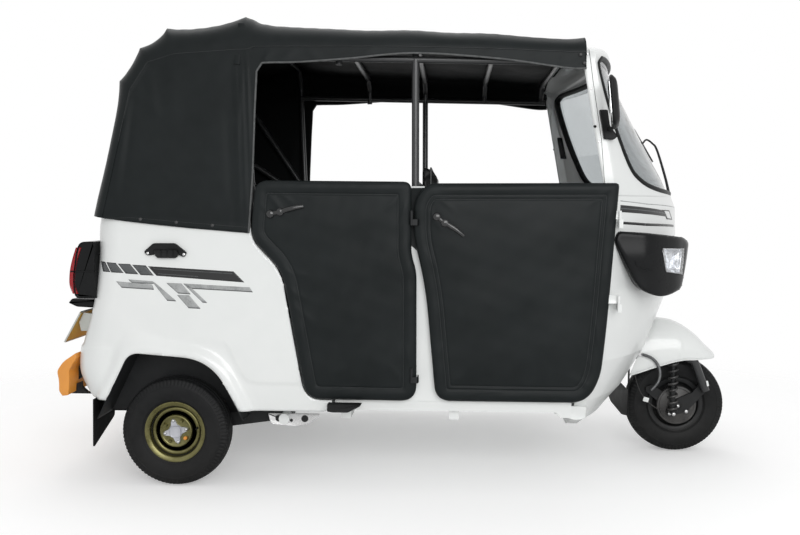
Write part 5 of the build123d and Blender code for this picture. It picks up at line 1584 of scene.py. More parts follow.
# %% Cowl stripes: across and height on the right half
stripe_top = [[(-0.600, 1.0665), (-0.506, 1.0560), (-0.506, 1.0530), (-0.600, 1.0635)],
              [(-0.506, 1.0560), (-0.219, 1.0435), (-0.219, 1.0410), (-0.506, 1.0530)]]
stripe_band = [[(-0.600, 1.0505), (-0.410, 1.0315), (-0.371, 1.0060), (-0.600, 1.0250)]]
stripe_core = [[(-0.600, 1.0400), (-0.395, 1.0215), (-0.388, 1.0165), (-0.600, 1.0350)]]
stripe_mark = [[(-0.412, 1.0330), (-0.338, 1.0305), (-0.292, 0.9935), (-0.370, 0.9965)]]
stripe_mark_in = [[(-0.393, 1.0280), (-0.344, 1.0262), (-0.312, 0.9975), (-0.362, 1.0010)]]
stripe_tail = [[(-0.345, 1.0030), (-0.300, 0.9990), (-0.300, 0.9950), (-0.342, 0.9990)]]
stripe_low = [[(-0.600, 0.9915), (-0.508, 0.9835), (-0.508, 0.9740), (-0.600, 0.9820)],
              [(-0.508, 0.9835), (-0.262, 0.9735), (-0.268, 0.9650), (-0.508, 0.9740)]]
films("cowl_stripe_fine", stripe_top, front_point, 0.0004, film_grey)
films("cowl_stripe_band", stripe_band + stripe_low + stripe_mark + stripe_tail, front_point,
      0.0005, film_black)
films("cowl_stripe_core", stripe_core, front_point, 0.0009, film_dark)
films("cowl_stripe_mark", stripe_mark_in, front_point, 0.0009, white_paint)

# %% Windscreen seal, inside and out
seal_right = np.array([
    (0, 1094), (-112, 1095), (-250, 1099), (-374, 1106), (-458, 1121), (-508, 1147), (-533, 1186),
    (-548, 1290), (-560, 1402), (-568, 1500), (-566, 1548), (-545, 1572), (-500, 1583),
    (-300, 1588), (0, 1590),
]) / 1000
seal_line = np.concatenate([seal_right, seal_right[-2:0:-1] * (-1, 1)])
turns = np.linspace(0, 1, len(seal_line) + 1)
seal_closed = np.concatenate([seal_line, seal_line[:1]])
fine = np.linspace(0, 1, 361)[:-1]
seal_yz = np.stack([smooth(fine, turns, seal_closed[:, k]) for k in range(2)], axis=1)
seal_path = front_point(seal_yz[:, 0], seal_yz[:, 1])
seal_out = unit(front_point(seal_yz[:, 0], seal_yz[:, 1], 0.01) - seal_path)
a = np.linspace(0, 2 * np.pi, 24, endpoint=False)
seal_section = np.stack([
    -0.0085 + 0.0150 * np.sign(np.sin(a)) * np.abs(np.sin(a)) ** 0.6,
    0.0105 * np.sign(np.cos(a)) * np.abs(np.cos(a)) ** 0.7,
], axis=1)
piece("windscreen_seal", strip(seal_path, seal_section, seal_out, closed=True), "body",
      seal_rubber, crease=60)

# %% Windscreen surround, one skin from the cowl to the header
SURROUND_FOOT, SURROUND_LIFT = 1.0820, 0.0004
TOP_LEVEL = 1.600
HEADER_ROLL = 0.034
header_across = np.array([0, 0.30, 0.50, 0.76, 0.92, 1.0])
header_height = np.array([1.674, 1.662, 1.648, 1.634, 1.619, 1.608])
share, rise = np.meshgrid(np.linspace(-1, 1, 171), np.linspace(0, 1, 78))
header_z = np.interp(np.abs(share), header_across, header_height)
skin_z = SURROUND_FOOT + rise * (header_z - SURROUND_FOOT)
level_z = np.minimum(skin_z, TOP_LEVEL)
arc_skin = front_point(share * front_width(level_z), level_z)
arc_skin[..., 2] = skin_z
flat_yz, arc_quads = trimmed(arc_skin[..., 1:].reshape(-1, 2), grid(arc_skin)[1][0], seal_line,
                             0.0076)
arc_skin = front_point(flat_yz[:, 0], np.minimum(flat_yz[:, 1], TOP_LEVEL), SURROUND_LIFT)
arc_skin[:, 2] = flat_yz[:, 1]
near_top = np.clip((arc_skin[:, 2] - header_z.ravel() + HEADER_ROLL) / HEADER_ROLL, 0, 1)
roll = 1 - np.sqrt(1 - near_top**2)
corner = smoothstep((np.abs(share.ravel()) - 0.7) / 0.3)
arc_skin -= np.stack([0.040 * roll, 0.022 * roll * corner * np.sign(arc_skin[:, 1]), 0 * roll], 1)
arc_grid = arc_skin.reshape(*share.shape, 3)
top_edge = arc_grid[-1]
back_x = np.maximum(top_edge[:, 0] - 0.12, FRONT - 0.500)
header_top = np.stack([top_edge + np.stack(
    [(back_x - top_edge[:, 0]) * k, 0 * back_x, 0.004 * k + 0 * back_x], 1)
    for k in np.linspace(0, 1, 8)])
sides = [np.stack([arc_grid[:, column] - (0.042 * k, 0, 0) for k in order], axis=1)
         for column, order in ((0, np.linspace(1, 0, 6)), (-1, np.linspace(0, 1, 6)))]
piece("windscreen_surround",
      join((arc_skin, [arc_quads]), grid(header_top), grid(sides[0]), grid(sides[1])), "body",
      white_paint, ["windscreen_frame"], crease=50, wall=0.004)

# %% Pillar seam, screws and clip
for side_name, side in SIDES:
    seam_line = line(REAR, (1513, 1602), (1528, 1490), (1544, 1385), (1560, 1280), (1573, 1121))
    seam_line = evenly(seam_line, step=0.02)
    seam_y = front_width(seam_line[:, 1]) + 0.0002
    seam_path = np.stack([seam_line[:, 0], side * seam_y, seam_line[:, 1]], axis=1)
    piece(f"pillar_seam_{side_name}", tube(seam_path, 0.0009, 8, (1, 0, 0)), "body", seal_rubber)
    screws = np.array([(REAR + 1.522, 1.462), (REAR + 1.552, 1.274), (REAR + 1.508, 1.585)])
    at = np.stack([screws[:, 0], side * front_width(screws[:, 1]), screws[:, 1]], axis=1)
    piece(f"pillar_screws_{side_name}", studs(at, (0, side, 0), 0.0045, 0.002), "body",
          bright_steel, outward=False)
    clip = np.array([(REAR + 1.537, side * 0.607, 1.329)])
    piece(f"pillar_clip_{side_name}", studs(clip, (-1, side, 0), 0.005, 0.007), "body",
          black_plastic, outward=False)
print("windscreen trims made")

# %% [markdown]
# ## Headlamps
# A satin black housing sits over each front corner of the cowl. In plan it follows the corner,
# in side view it is a rounded wedge, and its edges roll back to the paint. The lens is set into
# an opening with a bright bowl behind it, and a small boss with a curved rib marks the side.

# %% Headlamp skin
LAMP_RIM, LAMP_CELL = 0.015, 0.0038
lamp_edge = rounded(line(FRONT, (-377, 925), (-362, 957), (-230, 948), (-98, 931), (-63, 908),
                         (-79, 836), (-104, 742), (-190, 715), (-280, 742), (-350, 860)),
                    np.array([16, 16, 60, 16, 10, 56, 18, 40, 45, 50]) / 1000, 9)
lamp_window = rounded(line(FRONT, (-202, 894), (-112, 889), (-121, 797), (-183, 811)), 0.010, 6)
lamp_plan = np.array([(-0.362, 0.6135), (-0.240, 0.608), (-0.175, 0.567), (-0.110, 0.503),
                      (-0.062, 0.425), (-0.040, 0.362)])


def lamp_skin(x, z, lift=0.0):
    """The housing's outer face: its distance out comes from the plan line, and a rim 15 mm wide
    rolls inwards by 7 mm as a quarter of an ellipse."""
    gap, _ = edge_distance(np.stack([x, z], axis=-1).reshape(-1, 2), lamp_edge)
    deep = np.clip(-gap, 0, LAMP_RIM).reshape(np.shape(x))
    roll = 0.007 * (1 - np.sqrt(np.clip(1 - (1 - deep / LAMP_RIM) ** 2, 0, 1)))
    out = smooth(x - FRONT, lamp_plan[:, 0], lamp_plan[:, 1]) + 0.006
    swell = 0.006 * bump_at(z, 0.865, 0.05)
    return np.stack([x, out - roll + swell * np.clip(deep / LAMP_RIM, 0, 1) + lift, z], axis=-1)


lamp_a = np.linspace(-0.381, -0.046, 89)[:, None] + FRONT
lamp_b = np.linspace(0.710, 0.962, 67)[None]
lamp_flat = np.stack(np.broadcast_arrays(lamp_a, lamp_b), axis=-1).reshape(-1, 2)
lamp_flat, lamp_quads = trimmed(lamp_flat, flat_grid(89, 67), lamp_edge, LAMP_CELL,
                                keep_outside=False)
lamp_flat, lamp_quads = trimmed(lamp_flat, lamp_quads, lamp_window, LAMP_CELL)
lamp_shape = used_only(lamp_skin(lamp_flat[:, 0], lamp_flat[:, 1]), [lamp_quads])
edge_points = evenly(lamp_edge, step=0.004, closed=True)
skirt_top = lamp_skin(edge_points[:, 0], edge_points[:, 1])
skirt = np.stack([skirt_top + (0, -k, 0) for k in np.linspace(0, 0.10, 8)])
window_points = evenly(lamp_window, step=0.003, closed=True)
bowl_top = lamp_skin(window_points[:, 0], window_points[:, 1], 0.0008)
middle = bowl_top.mean(0)
bowl = np.stack([bowl_top + (middle - bowl_top) * s + (0, -0.030 * t, 0)
                 for s, t in ((0, 0), (0.05, 0.25), (0.16, 0.7), (0.36, 0.95), (0.7, 1.05))])
glass_corners = line(FRONT, (-201, 896), (-101, 891), (-106, 795), (-182, 809))
for side_name, side in SIDES:
    flip = (1, side, 1)
    housing = join(lamp_shape, grid(skirt, close_columns=True))
    piece(f"headlamp_{side_name}", transform(housing, flip), "body", lamp_plastic,
          ["headlamps"], crease=60, wall=0.0018)
    inner = grid(bowl, close_columns=True)
    back_face = np.arange(len(inner[0]) - len(bowl_top), len(inner[0]))[None]
    piece(f"headlamp_bowl_{side_name}", transform((inner[0], inner[1] + [back_face]), flip),
          "body", reflector, crease=50, wall=0.001)
    cover = film(glass_corners, lamp_skin, 0.0012, 0.004)
    piece(f"headlamp_lens_{side_name}", transform(cover, flip), "body", lamp_glass,
          wall=0.002, outward=False)
    bulb = turned(np.array([(0, 0.001), (0.002, 0.010), (0.010, 0.013), (0.022, 0.012),
                            (0.028, 0.001)]), (FRONT - 0.150, side * 0.505, 0.852), 24)
    piece(f"headlamp_bulb_{side_name}", bulb, "body", bright_steel)
    boss = studs(np.array([(FRONT - 0.290, side * 0.6165, 0.846)]), (0, side, 0), 0.006, 0.003)
    piece(f"headlamp_boss_{side_name}", boss, "body", bright_steel, outward=False)
    rib = line(FRONT, (-303, 852), (-300, 838), (-288, 829), (-262, 822), (-236, 818))
    rib = evenly(rib, step=0.004)
    rib_path = lamp_skin(rib[:, 0], rib[:, 1], 0.0002) * flip
    piece(f"headlamp_rib_{side_name}", tube(rib_path, 0.0022, 10, (0, 1, 0)), "body",
          lamp_plastic)
print("headlamps made")

# %% [markdown]
# ## Mirrors and wiper
# Each mirror is a rounded pod on a short arm from a black block on the pillar, with a thin
# plane of glass let into its rear face. The wiper is a spindle, a cranked arm and a blade.

# %% Mirrors
pod_outline = rounded([(0.642, 1.490), (0.769, 1.492), (0.764, 1.322), (0.655, 1.308)],
                      np.array([34, 34, 40, 34]) / 1000, 9)


def pod_bulge(points, depth):
    """The pod's front swells towards its middle."""
    return 0.013 * (1 - np.exp(-depth / 0.022))


def pod_turn(x, y, z):
    """The pod leans forward towards its foot by 1 in 10, and its outer edge turns back."""
    return x + FRONT - 0.405 + 0.10 * (1.400 - z) - 0.14 * (y - 0.706)


pod = door_cover(pod_outline, np.array([0.708, 1.400]), pod_bulge, -0.009, 0.009, 120)
pod_lean = pod_turn(pod[..., 1], pod[..., 0], pod[..., 2])
glass_edge = shrink(pod_outline, 0.009)
block = rounded(line(FRONT, (-436, 1386), (-408, 1386), (-399, 1330), (-371, 1293),
                     (-384, 1281), (-418, 1284)), 0.004, 4)
arm = smooth_through([(FRONT - 0.402, 0.612, 1.322), (FRONT - 0.401, 0.640, 1.316),
                      (FRONT - 0.398, 0.668, 1.318), (FRONT - 0.396, 0.690, 1.330),
                      (FRONT - 0.396, 0.703, 1.352)], 26)
for side_name, side in SIDES:
    shell = np.stack([pod_lean, side * pod[..., 0], pod[..., 2]], axis=-1)
    piece(f"mirror_pod_{side_name}", grid(shell, close_columns=True), "body", black_plastic,
          ["mirrors"])
    face_points, face_faces = slab("end", glass_edge, -0.0105, -0.0080, 0.0008, 2)
    face_points[:, 0] = pod_turn(face_points[:, 0], face_points[:, 1], face_points[:, 2])
    piece(f"mirror_glass_{side_name}", transform((face_points, face_faces), (1, side, 1)),
          "body", mirror_face)
    piece(f"mirror_arm_{side_name}",
          join(slab("side", block, side * 0.590, side * 0.622, 0.003, 4),
               tube(arm * (1, side, 1), 0.0062, 14, (1, 0, 0))),
          "body", black_plastic)
print("mirrors made")

# %% Wiper
wiper_arm = line(FRONT, (-34, 1097), (-52, 1170), (-88, 1283), (-108, 1312), (-132, 1328),
                 (-146, 1316), (-155, 1297))
wiper_t = np.linspace(0, 6, 60)
wiper_bend = smooth_through(wiper_arm, 60)
wiper_path = np.stack([wiper_bend[:, 0], 0 * wiper_t, wiper_bend[:, 1]], axis=1)
wiper_radius = np.interp(wiper_t, [0, 3, 6], [0.0062, 0.004, 0.0035])
blade_path = np.stack([np.linspace(FRONT - 0.100, FRONT - 0.212, 30), np.zeros(30),
                       np.linspace(1.2025, 1.3935, 30)], axis=1)
spindle = turned(np.array([(0, 0.001), (0, 0.0085), (0.030, 0.009), (0.040, 0.006),
                           (0.041, 0.001)]), (0, 0, 0), 20)
spindle = transform(spindle, shift=(FRONT - 0.072, 0, 1.097), order=(1, 0, 2))
piece("wiper_arm", join(tube(wiper_path, wiper_radius, 12, (0, 1, 0)), spindle), "body",
      black_paint, ["wiper"])
piece("wiper_blade", join(
    strip(blade_path, box_section(0.008, 0.010, 0.002), (0, 1, 0)),
    strip(blade_path[4:-4] + (0.010, 0, 0.006), box_section(0.005, 0.006, 0.001), (0, 1, 0)),
    strip(np.linspace(blade_path[15] + (0.012, 0, 0.007), wiper_path[-1], 6),
          box_section(0.006, 0.005, 0.001), (0, 1, 0))),
      "body", seal_rubber)
print("wiper made")
# %% [markdown]
# ## Wheels
# Small scooter wheels: a round-shouldered tyre with ribs cut across its shoulder, and a zinc
# plated steel rim pressed in steps. Both are profiles turned about the axle, which is how the
# real ones are made. The shoulder ribs are the only part that changes round the wheel, so they
# are added as a wave of the turning angle.

# %% Tyre profile: across and radius, from one bead over the tread to the other
tyre_half = np.array([
    (0.0385, 0.1016), (0.0392, 0.1080), (0.0395, 0.1145), (0.0420, 0.1175), (0.0452, 0.1225),
    (0.0466, 0.1236), (0.0478, 0.1290), (0.0500, 0.1380), (0.0512, 0.1470), (0.0518, 0.1570),
    (0.0516, 0.1660), (0.0508, 0.1712), (0.0518, 0.1724), (0.0512, 0.1745), (0.0500, 0.1775),
    (0.0488, 0.1815), (0.0474, 0.1855), (0.0458, 0.1892), (0.0438, 0.1930), (0.0416, 0.1962),
    (0.0392, 0.1986), (0.0350, 0.2000), (0.0300, 0.2012), (0.0285, 0.2014), (0.0280, 0.1965),
    (0.0250, 0.1963), (0.0245, 0.2022), (0.0180, 0.2032), (0.0110, 0.2040), (0.0105, 0.1985),
    (0.0075, 0.1985), (0.0070, 0.2045), (0.0000, 0.2049),
])
tyre_profile = np.concatenate([tyre_half, (tyre_half * (-1, 1))[-2::-1]])
tyre_profile = np.concatenate([tyre_profile, [(-0.0360, 0.1013), (0.0360, 0.1013)]])
LUGS, NOTCH_DEPTH = 84, 0.0024


def tyre_shape(centre):
    """A ring of the profile with its shoulder cut by radial notches: where the notch wave
    n(a) = smoothstep((cos(84 a) - 0.25) / 0.3) is 1, the shoulder drops 2.4 mm."""
    angle = np.linspace(0, 2 * np.pi, LUGS * 6, endpoint=False)[None]
    notch = smoothstep((np.cos(LUGS * angle) - 0.25) / 0.3)
    across, radius = tyre_profile[:, :1], tyre_profile[:, 1:]
    shoulder = (smoothstep((radius - 0.1765) / 0.004)
                * smoothstep((np.abs(across) - 0.0300) / 0.004))
    steep = smoothstep((0.2005 - radius) / 0.012)
    across = across - np.sign(across) * NOTCH_DEPTH * notch * shoulder * steep
    radius = radius - NOTCH_DEPTH * notch * shoulder * (1 - steep)
    points = np.stack([centre[0] + radius * np.sin(angle), centre[1] + across,
                       centre[2] + radius * np.cos(angle)], axis=-1)
    return grid(points, close_rows=True, close_columns=True)


# %% Rim profile: across and radius, from the spindle's end to the hub's face
rim_profile = np.array([
    (-0.136, 0.0005), (-0.136, 0.0150), (-0.134, 0.0168), (-0.042, 0.0168), (-0.040, 0.0200),
    (-0.040, 0.0440), (-0.038, 0.0460), (-0.004, 0.0460), (-0.003, 0.0700), (-0.006, 0.0915),
    (-0.010, 0.0960), (-0.0385, 0.0965), (-0.0412, 0.1000), (-0.0415, 0.1110),
    (-0.0418, 0.1140), (-0.0405, 0.1146), (-0.0390, 0.1125), (-0.0385, 0.1012),
    (-0.0360, 0.1009), (0.0360, 0.1009), (0.0385, 0.1012), (0.0390, 0.1125), (0.0405, 0.1148),
    (0.0420, 0.1142), (0.0424, 0.1120), (0.0416, 0.1085), (0.0400, 0.1040), (0.0384, 0.1000),
    (0.0368, 0.0975), (0.0330, 0.0963), (0.0250, 0.0957), (0.0205, 0.0945), (0.0200, 0.0930),
    (0.0220, 0.0912), (0.0242, 0.0890), (0.0252, 0.0862), (0.0250, 0.0825), (0.0240, 0.0790),
    (0.0215, 0.0766), (0.0150, 0.0755), (0.0060, 0.0748), (0.0015, 0.0730), (0.0005, 0.0700),
    (0.0010, 0.0665), (0.0045, 0.0642), (0.0150, 0.0630), (0.0250, 0.0618), (0.0290, 0.0603),
    (0.0302, 0.0578), (0.0292, 0.0545), (0.0275, 0.0515), (0.0270, 0.0400), (0.0270, 0.0200),
    (0.0270, 0.0005),
])


STAR_ANGLE = 12
NUT_CIRCLE = 0.044


def star_outline(centre, count=96):
    """A hub plate with four points: radius = 26.5 mm + 21.5 mm * |cos(2 phi)|^5.2."""
    phi = np.linspace(0, 2 * np.pi, count, endpoint=False)
    radius = 0.0265 + 0.0215 * (np.cos(2 * (phi - math.radians(STAR_ANGLE))) ** 2) ** 2.6
    return np.stack([centre[0] + radius * np.cos(phi), centre[2] + radius * np.sin(phi)], axis=1)


def nut_place(angle):
    """A place on the nuts' circle."""
    return NUT_CIRCLE * np.cos(angle), 0, NUT_CIRCLE * np.sin(angle)


# %% Rear wheels
nut_profile = np.array([(0.026, 0.0068), (0.034, 0.0068), (0.0362, 0.0052), (0.0362, 0.0005)])
valve_profile = np.array([(-0.012, 0.0042), (0.0, 0.004), (0.004, 0.0032), (0.016, 0.003),
                          (0.018, 0.0005)])
shadow_profiles = (
    [(0.0012, 0.0738), (0.0020, 0.0738), (0.0022, 0.0660), (0.0012, 0.0660)],
    [(0.0195, 0.0950), (0.0222, 0.0946), (0.0224, 0.0928), (0.0195, 0.0925)],
)
for side_name, side in SIDES:
    mirror = (side, 1)
    body_name = f"rear_wheel_{side_name}"
    centre = np.array([REAR, side * WHEEL_Y, AXLE_Z])
    piece(f"rear_tyre_{side_name}_tread", tyre_shape(centre), body_name, tyre_rubber,
          [f"rear_tyre_{side_name}"], crease=38)
    piece(f"rear_rim_{side_name}_pressing", turned(rim_profile * mirror, centre, 120),
          body_name, rim_zinc, [f"rear_rim_{side_name}"], crease=50)
    star = slab("side", star_outline(centre), centre[1] + side * 0.0268,
                centre[1] + side * 0.0325, 0.0015, 4)
    phi = np.linspace(0, 2 * np.pi, 64, endpoint=False)
    square = 0.0205 / (np.abs(np.cos(phi)) ** 4 + np.abs(np.sin(phi)) ** 4) ** 0.25
    square = np.stack([centre[0] + square * np.cos(phi + 0.1),
                       centre[2] + square * np.sin(phi + 0.1)], 1)
    cap = slab("side", square, centre[1] + side * 0.031, centre[1] + side * 0.0368, 0.003, 4)
    phi = np.radians(STAR_ANGLE + np.array([0, 90, 180, 270]))
    tips = np.stack([centre[0] + 0.041 * np.cos(phi), np.full(4, centre[1] + side * 0.0325),
                     centre[2] + 0.041 * np.sin(phi)], axis=1)
    piece(f"hub_plate_{side_name}", join(star, cap), body_name, hub_alloy)
    piece(f"hub_bolts_{side_name}", studs(tips, (0, side, 0), 0.0058, 0.005), body_name,
          bright_steel, outward=False)
    nuts = [turned(nut_profile * mirror, centre + nut_place(angle), 6)
            for angle in np.radians([60, 150, 240])]
    piece(f"wheel_nuts_{side_name}", join(*nuts), body_name, rim_zinc, crease=25)
    marked = turned(nut_profile * mirror * (1, 1.1), centre + nut_place(np.radians(-35)), 6)
    piece(f"marked_nut_{side_name}", marked, body_name, amber_paint, crease=25)
    dark = [turned(np.array(ring) * mirror, centre, 96) for ring in shadow_profiles]
    piece(f"rim_shadow_{side_name}", join(*dark), body_name, black_paint)
    valve = turned(valve_profile * mirror, centre + (0.082, side * 0.028, 0.013), 14)
    piece(f"valve_{side_name}", valve, body_name, seal_rubber)

# %% Front wheel
front_centre = np.array([FRONT, 0.0, AXLE_Z])
front_rim_profile = rim_profile.copy()
front_rim_profile[:3, 0] = (-0.079, -0.079, -0.077)
piece("front_tyre_tread", tyre_shape(front_centre), "front_wheel", tyre_rubber,
      ["front_tyre"], crease=38)
piece("front_rim_pressing", turned(front_rim_profile, front_centre, 120), "front_wheel",
      black_paint, ["front_rim"], crease=50)
front_cap = turned(np.array([(0.0268, 0.0300), (0.0310, 0.0295), (0.0335, 0.0260),
                             (0.0340, 0.0005)]), front_centre, 60)
piece("front_hub_cap", front_cap, "front_wheel", hub_alloy)
print("wheels made")

# %% [markdown]
# ## Springs, dampers and the front fork
# A damper is a tube inside a coil spring. The coil is a tube carried along a helix, whose last
# turn at each end closes up as a ground spring does.


# %% Coil over damper
def coil_damper(name, body, foot, height, radius, wire, turns):
    """A helix x = r cos a, y = r sin a, z rising with a but held nearly level for 0.6 of a turn
    at each end, round a damper tube of half its radius."""
    count = int(turns * 22)
    s = np.linspace(0, 1, count)
    angle = s * turns * 2 * np.pi
    dead = 0.6 / turns
    rise = np.clip((s - dead) / (1 - 2 * dead), 0, 1) * (height - 4 * wire) + 1.2 * wire
    rise += np.where(s < dead, s / dead, 1) * wire * 0.8
    path = np.stack([foot[0] + (radius - wire) * np.cos(angle),
                     foot[1] + (radius - wire) * np.sin(angle), foot[2] + rise], axis=1)
    coil = tube(path, wire, 8, (0, 0, 1))
    core_profile = np.array([
        (0, 0.0005), (0, 0.95), (0.012, 1.0), (0.020, 0.95), (0.021, 0.55), (0.45, 0.55),
        (0.455, 0.40), (0.93, 0.40), (0.935, 0.95), (0.96, 1.0), (1.0, 0.9), (1.0, 0.0005),
    ]) * (height, radius)
    core = transform(turned(core_profile, (0, 0, 0), 28), shift=foot, order=(0, 2, 1))
    piece(f"{name}_core", core, body, black_paint, crease=40)
    return piece(f"{name}_coil", coil, body, dark_steel)


front_coil = coil_damper("front_spring", "steering", (FRONT - 0.027, -0.102, 0.1873), 0.227, 0.022,
                         0.0046, 9)
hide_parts("front_damper")
for side_name, side in SIDES:
    coil = coil_damper(f"rear_spring_{side_name}", "body", (REAR + 0.140, side * 0.470, 0.267),
                       0.333, 0.032, 0.0052, 8)
    if side_name == "left":
        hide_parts("rear_dampers")
print("springs made")

# %% Brake plate, bolts and bracket by the front wheel
plate_profile = np.array([
    (-0.0440, 0.0820), (-0.0600, 0.0826), (-0.0632, 0.0800), (-0.0640, 0.0740), (-0.0622, 0.0715),
    (-0.0636, 0.0680), (-0.0644, 0.0560), (-0.0660, 0.0520), (-0.0675, 0.0300), (-0.0695, 0.0260),
    (-0.0700, 0.0190),
])
piece("front_brake_plate", turned(plate_profile, (FRONT, 0, AXLE_Z), 90, closed=False), "steering",
      dark_steel, crease=30)
bolts = np.array([(FRONT + 0.036, -0.0795, 0.182), (FRONT + 0.0, -0.0800, 0.205),
                  (FRONT + 0.108, -0.084, 0.288), (FRONT - 0.027, -0.124, 0.180),
                  (FRONT - 0.033, -0.0795, 0.172)])
piece("front_link_bolts", studs(bolts, (0, -1, 0), 0.0085, 0.006), "steering", bright_steel,
      outward=False)
tag_outline = rounded(line(FRONT, (104, 322), (112, 322), (117, 300), (109, 298)), 0.002, 3)
piece("blank_tag_link", slab("side", tag_outline, -0.1195, -0.1175, 0.0004, 2), "steering",
      white_paint)
cable_line = spline_points(cable_route)
tag_at = cable_line[int(len(cable_line) * 0.54)]
tag = rounded([(tag_at[0] - 0.013, tag_at[2] - 0.006), (tag_at[0] + 0.009, tag_at[2] - 0.012),
               (tag_at[0] + 0.014, tag_at[2] + 0.006), (tag_at[0] - 0.008, tag_at[2] + 0.012)],
              0.002, 3)
piece("blank_tag_cable", slab("side", tag, tag_at[1] - 0.004, tag_at[1] - 0.0015, 0.0004, 2),
      "steering", white_paint)
collar = np.array([(-0.009, 0.0005), (-0.009, 0.009), (-0.007, 0.0095), (0.006, 0.0095),
                   (0.008, 0.008), (0.008, 0.0005)])
piece("hose_collar", turned(collar, hose_line[0] + (-0.004, 0.004, 0), 20), "steering",
      bright_steel)

# %% [markdown]
# ## Front mudguard and flap
# The guard is a pressed hood over the wheel. Each section across it is a rounded arch, given by
# a superellipse, which is fuller than an ellipse. Its foot follows the lower edge and its crown
# the upper line, and both come together at the tip.

# %% Mudguard
guard_top = line(FRONT, (-122, 562), (-95, 572), (-60, 570), (0, 557), (66, 516), (120, 460),
                 (147, 424))
guard_low = line(FRONT, (-213, 342), (-170, 356), (-110, 377), (-7, 407), (60, 411), (112, 414),
                 (145, 415))
knots_t = np.linspace(0, 1, 7)
t = np.linspace(0, 1, 96)
crown_line = np.stack([smooth(t, knots_t, guard_top[:, k]) for k in range(2)], axis=1)
foot_line = np.stack([smooth(t, knots_t, guard_low[:, k]) for k in range(2)], axis=1)
half_wide = 0.129 * np.clip(1 - (np.clip(t - 0.42, 0, 1) / 0.72) ** 2.6, 0.02, 1) ** 0.5
phi = np.linspace(0, np.pi, 73)
power = 2 / 2.7
spread = np.sign(np.cos(phi)) * np.abs(np.cos(phi)) ** power
rise = np.abs(np.sin(phi)) ** power
guard = np.stack([
    foot_line[:, None, 0] + rise * (crown_line - foot_line)[:, None, 0],
    half_wide[:, None] * spread,
    foot_line[:, None, 1] + rise * (crown_line - foot_line)[:, None, 1],
], axis=-1)
middle = 1 - (guard[..., 1] / half_wide[:, None]) ** 2
guard[..., 0] += 0.012 * smoothstep((t - 0.75) / 0.25)[:, None] * middle
crease_line = 0.0022 * np.exp(-(((guard[..., 0] - FRONT + 0.004) / 0.007) ** 2))
crease_line = crease_line * smoothstep((0.51 - guard[..., 2]) / 0.03)
guard[..., 1] += np.sign(guard[..., 1]) * crease_line
piece("mudguard_shell", grid(guard), "steering", white_paint, ["front_mudguard"],
      wall=0.0025, lining=black_paint)
for side_name, side in SIDES:
    edge = guard[:-2, 0 if side == 1 else -1]
    piece(f"mudguard_edge_{side_name}", tube(edge[::2], 0.0022, 8, (0, 1, 0)), "steering",
          white_paint)
print("mudguard made", guard.shape)

# %% Front flap
front_flap = rounded(
    [(-0.226, 0.392), (-0.226, 0.196), (-0.120, 0.176), (0.120, 0.176), (0.226, 0.196),
     (0.226, 0.392), (0.208, 0.392), (0.208, 0.296), (-0.208, 0.296), (-0.208, 0.392)],
    np.array([2, 14, 20, 20, 14, 2, 2, 6, 6, 2]) / 1000, 5)
flap_shape = slab("end", front_flap, FRONT - 0.236, FRONT - 0.231, 0.001, 3)
curl = 0.006 * np.clip((0.30 - flap_shape[0][:, 2]) / 0.12, 0, 1) ** 2
flap_shape = (flap_shape[0] - np.stack([curl, 0 * curl, 0 * curl], axis=1), flap_shape[1])
piece("front_flap_rubber", flap_shape, "body", flap_rubber, ["front_mud_flap"])
print("front flap made")
# %% [markdown]
# ## Seats
# The bench and the driver's seat are foam blocks under sewn vinyl. A foam block is a closed
# form that swells, held flat by the board under it. So each pad starts as a rounded block a
# little smaller than its place, is remeshed into even cells, and is blown up by a short cloth
# simulation without gravity. Its sewn channels and piping come after, on the finished skin.


# %% Blow a pad up with a cloth simulation
PUFF_FRAMES = 20


def puffed(points, faces, voxel, pressure, cap, pinned):
    """Remesh a closed form, inflate it for 20 frames, and let no point move further than cap.
    pinned(points) gives 1 for a point that stays on its board."""
    mesh = bpy.data.meshes.new("pad_block")
    mesh.from_pydata(points.tolist(), [], [list(f) for block in faces for f in block.tolist()])
    block = bpy.data.objects.new("pad_block", mesh)
    studio.collection.objects.link(block)
    remesh = block.modifiers.new("even", "REMESH")
    remesh.mode, remesh.voxel_size = "VOXEL", voxel
    cells = bpy.data.meshes.new_from_object(
        block.evaluated_get(bpy.context.evaluated_depsgraph_get()))
    block.modifiers.remove(remesh)
    block.data = cells
    start = np.empty(len(cells.vertices) * 3)
    cells.vertices.foreach_get("co", start)
    start = start.reshape(-1, 3)
    final = start
    held = block.vertex_groups.new(name="held")
    held.add(np.flatnonzero(pinned(start) > 0.5).tolist(), 1.0, "REPLACE")
    cloth = block.modifiers.new("cloth", "CLOTH")
    cloth.settings.vertex_group_mass = "held"
    cloth.settings.use_pressure = True
    cloth.settings.uniform_pressure_force = pressure
    cloth.settings.effector_weights.gravity = 0
    cloth.point_cache.frame_start, cloth.point_cache.frame_end = 1, PUFF_FRAMES
    for frame_number in range(1, PUFF_FRAMES + 1):
        studio.frame_set(frame_number)
    swollen = block.evaluated_get(bpy.context.evaluated_depsgraph_get()).to_mesh()
    moved = np.empty(len(swollen.vertices) * 3)
    swollen.vertices.foreach_get("co", moved)
    shift = moved.reshape(-1, 3) - start
    far = np.linalg.norm(shift, axis=1, keepdims=True)
    final = start + shift * np.minimum(1, cap / np.maximum(far, 1e-9))
    studio.frame_set(1)
    loops = np.empty(len(cells.loops), int)
    cells.loops.foreach_get("vertex_index", loops)
    sizes = np.empty(len(cells.polygons), int)
    cells.polygons.foreach_get("loop_total", sizes)
    bpy.data.objects.remove(block)
    quads = loops.reshape(-1, 4) if (sizes == 4).all() else None
    print("pad cells", len(final), "all quads", quads is not None)
    return final, quads


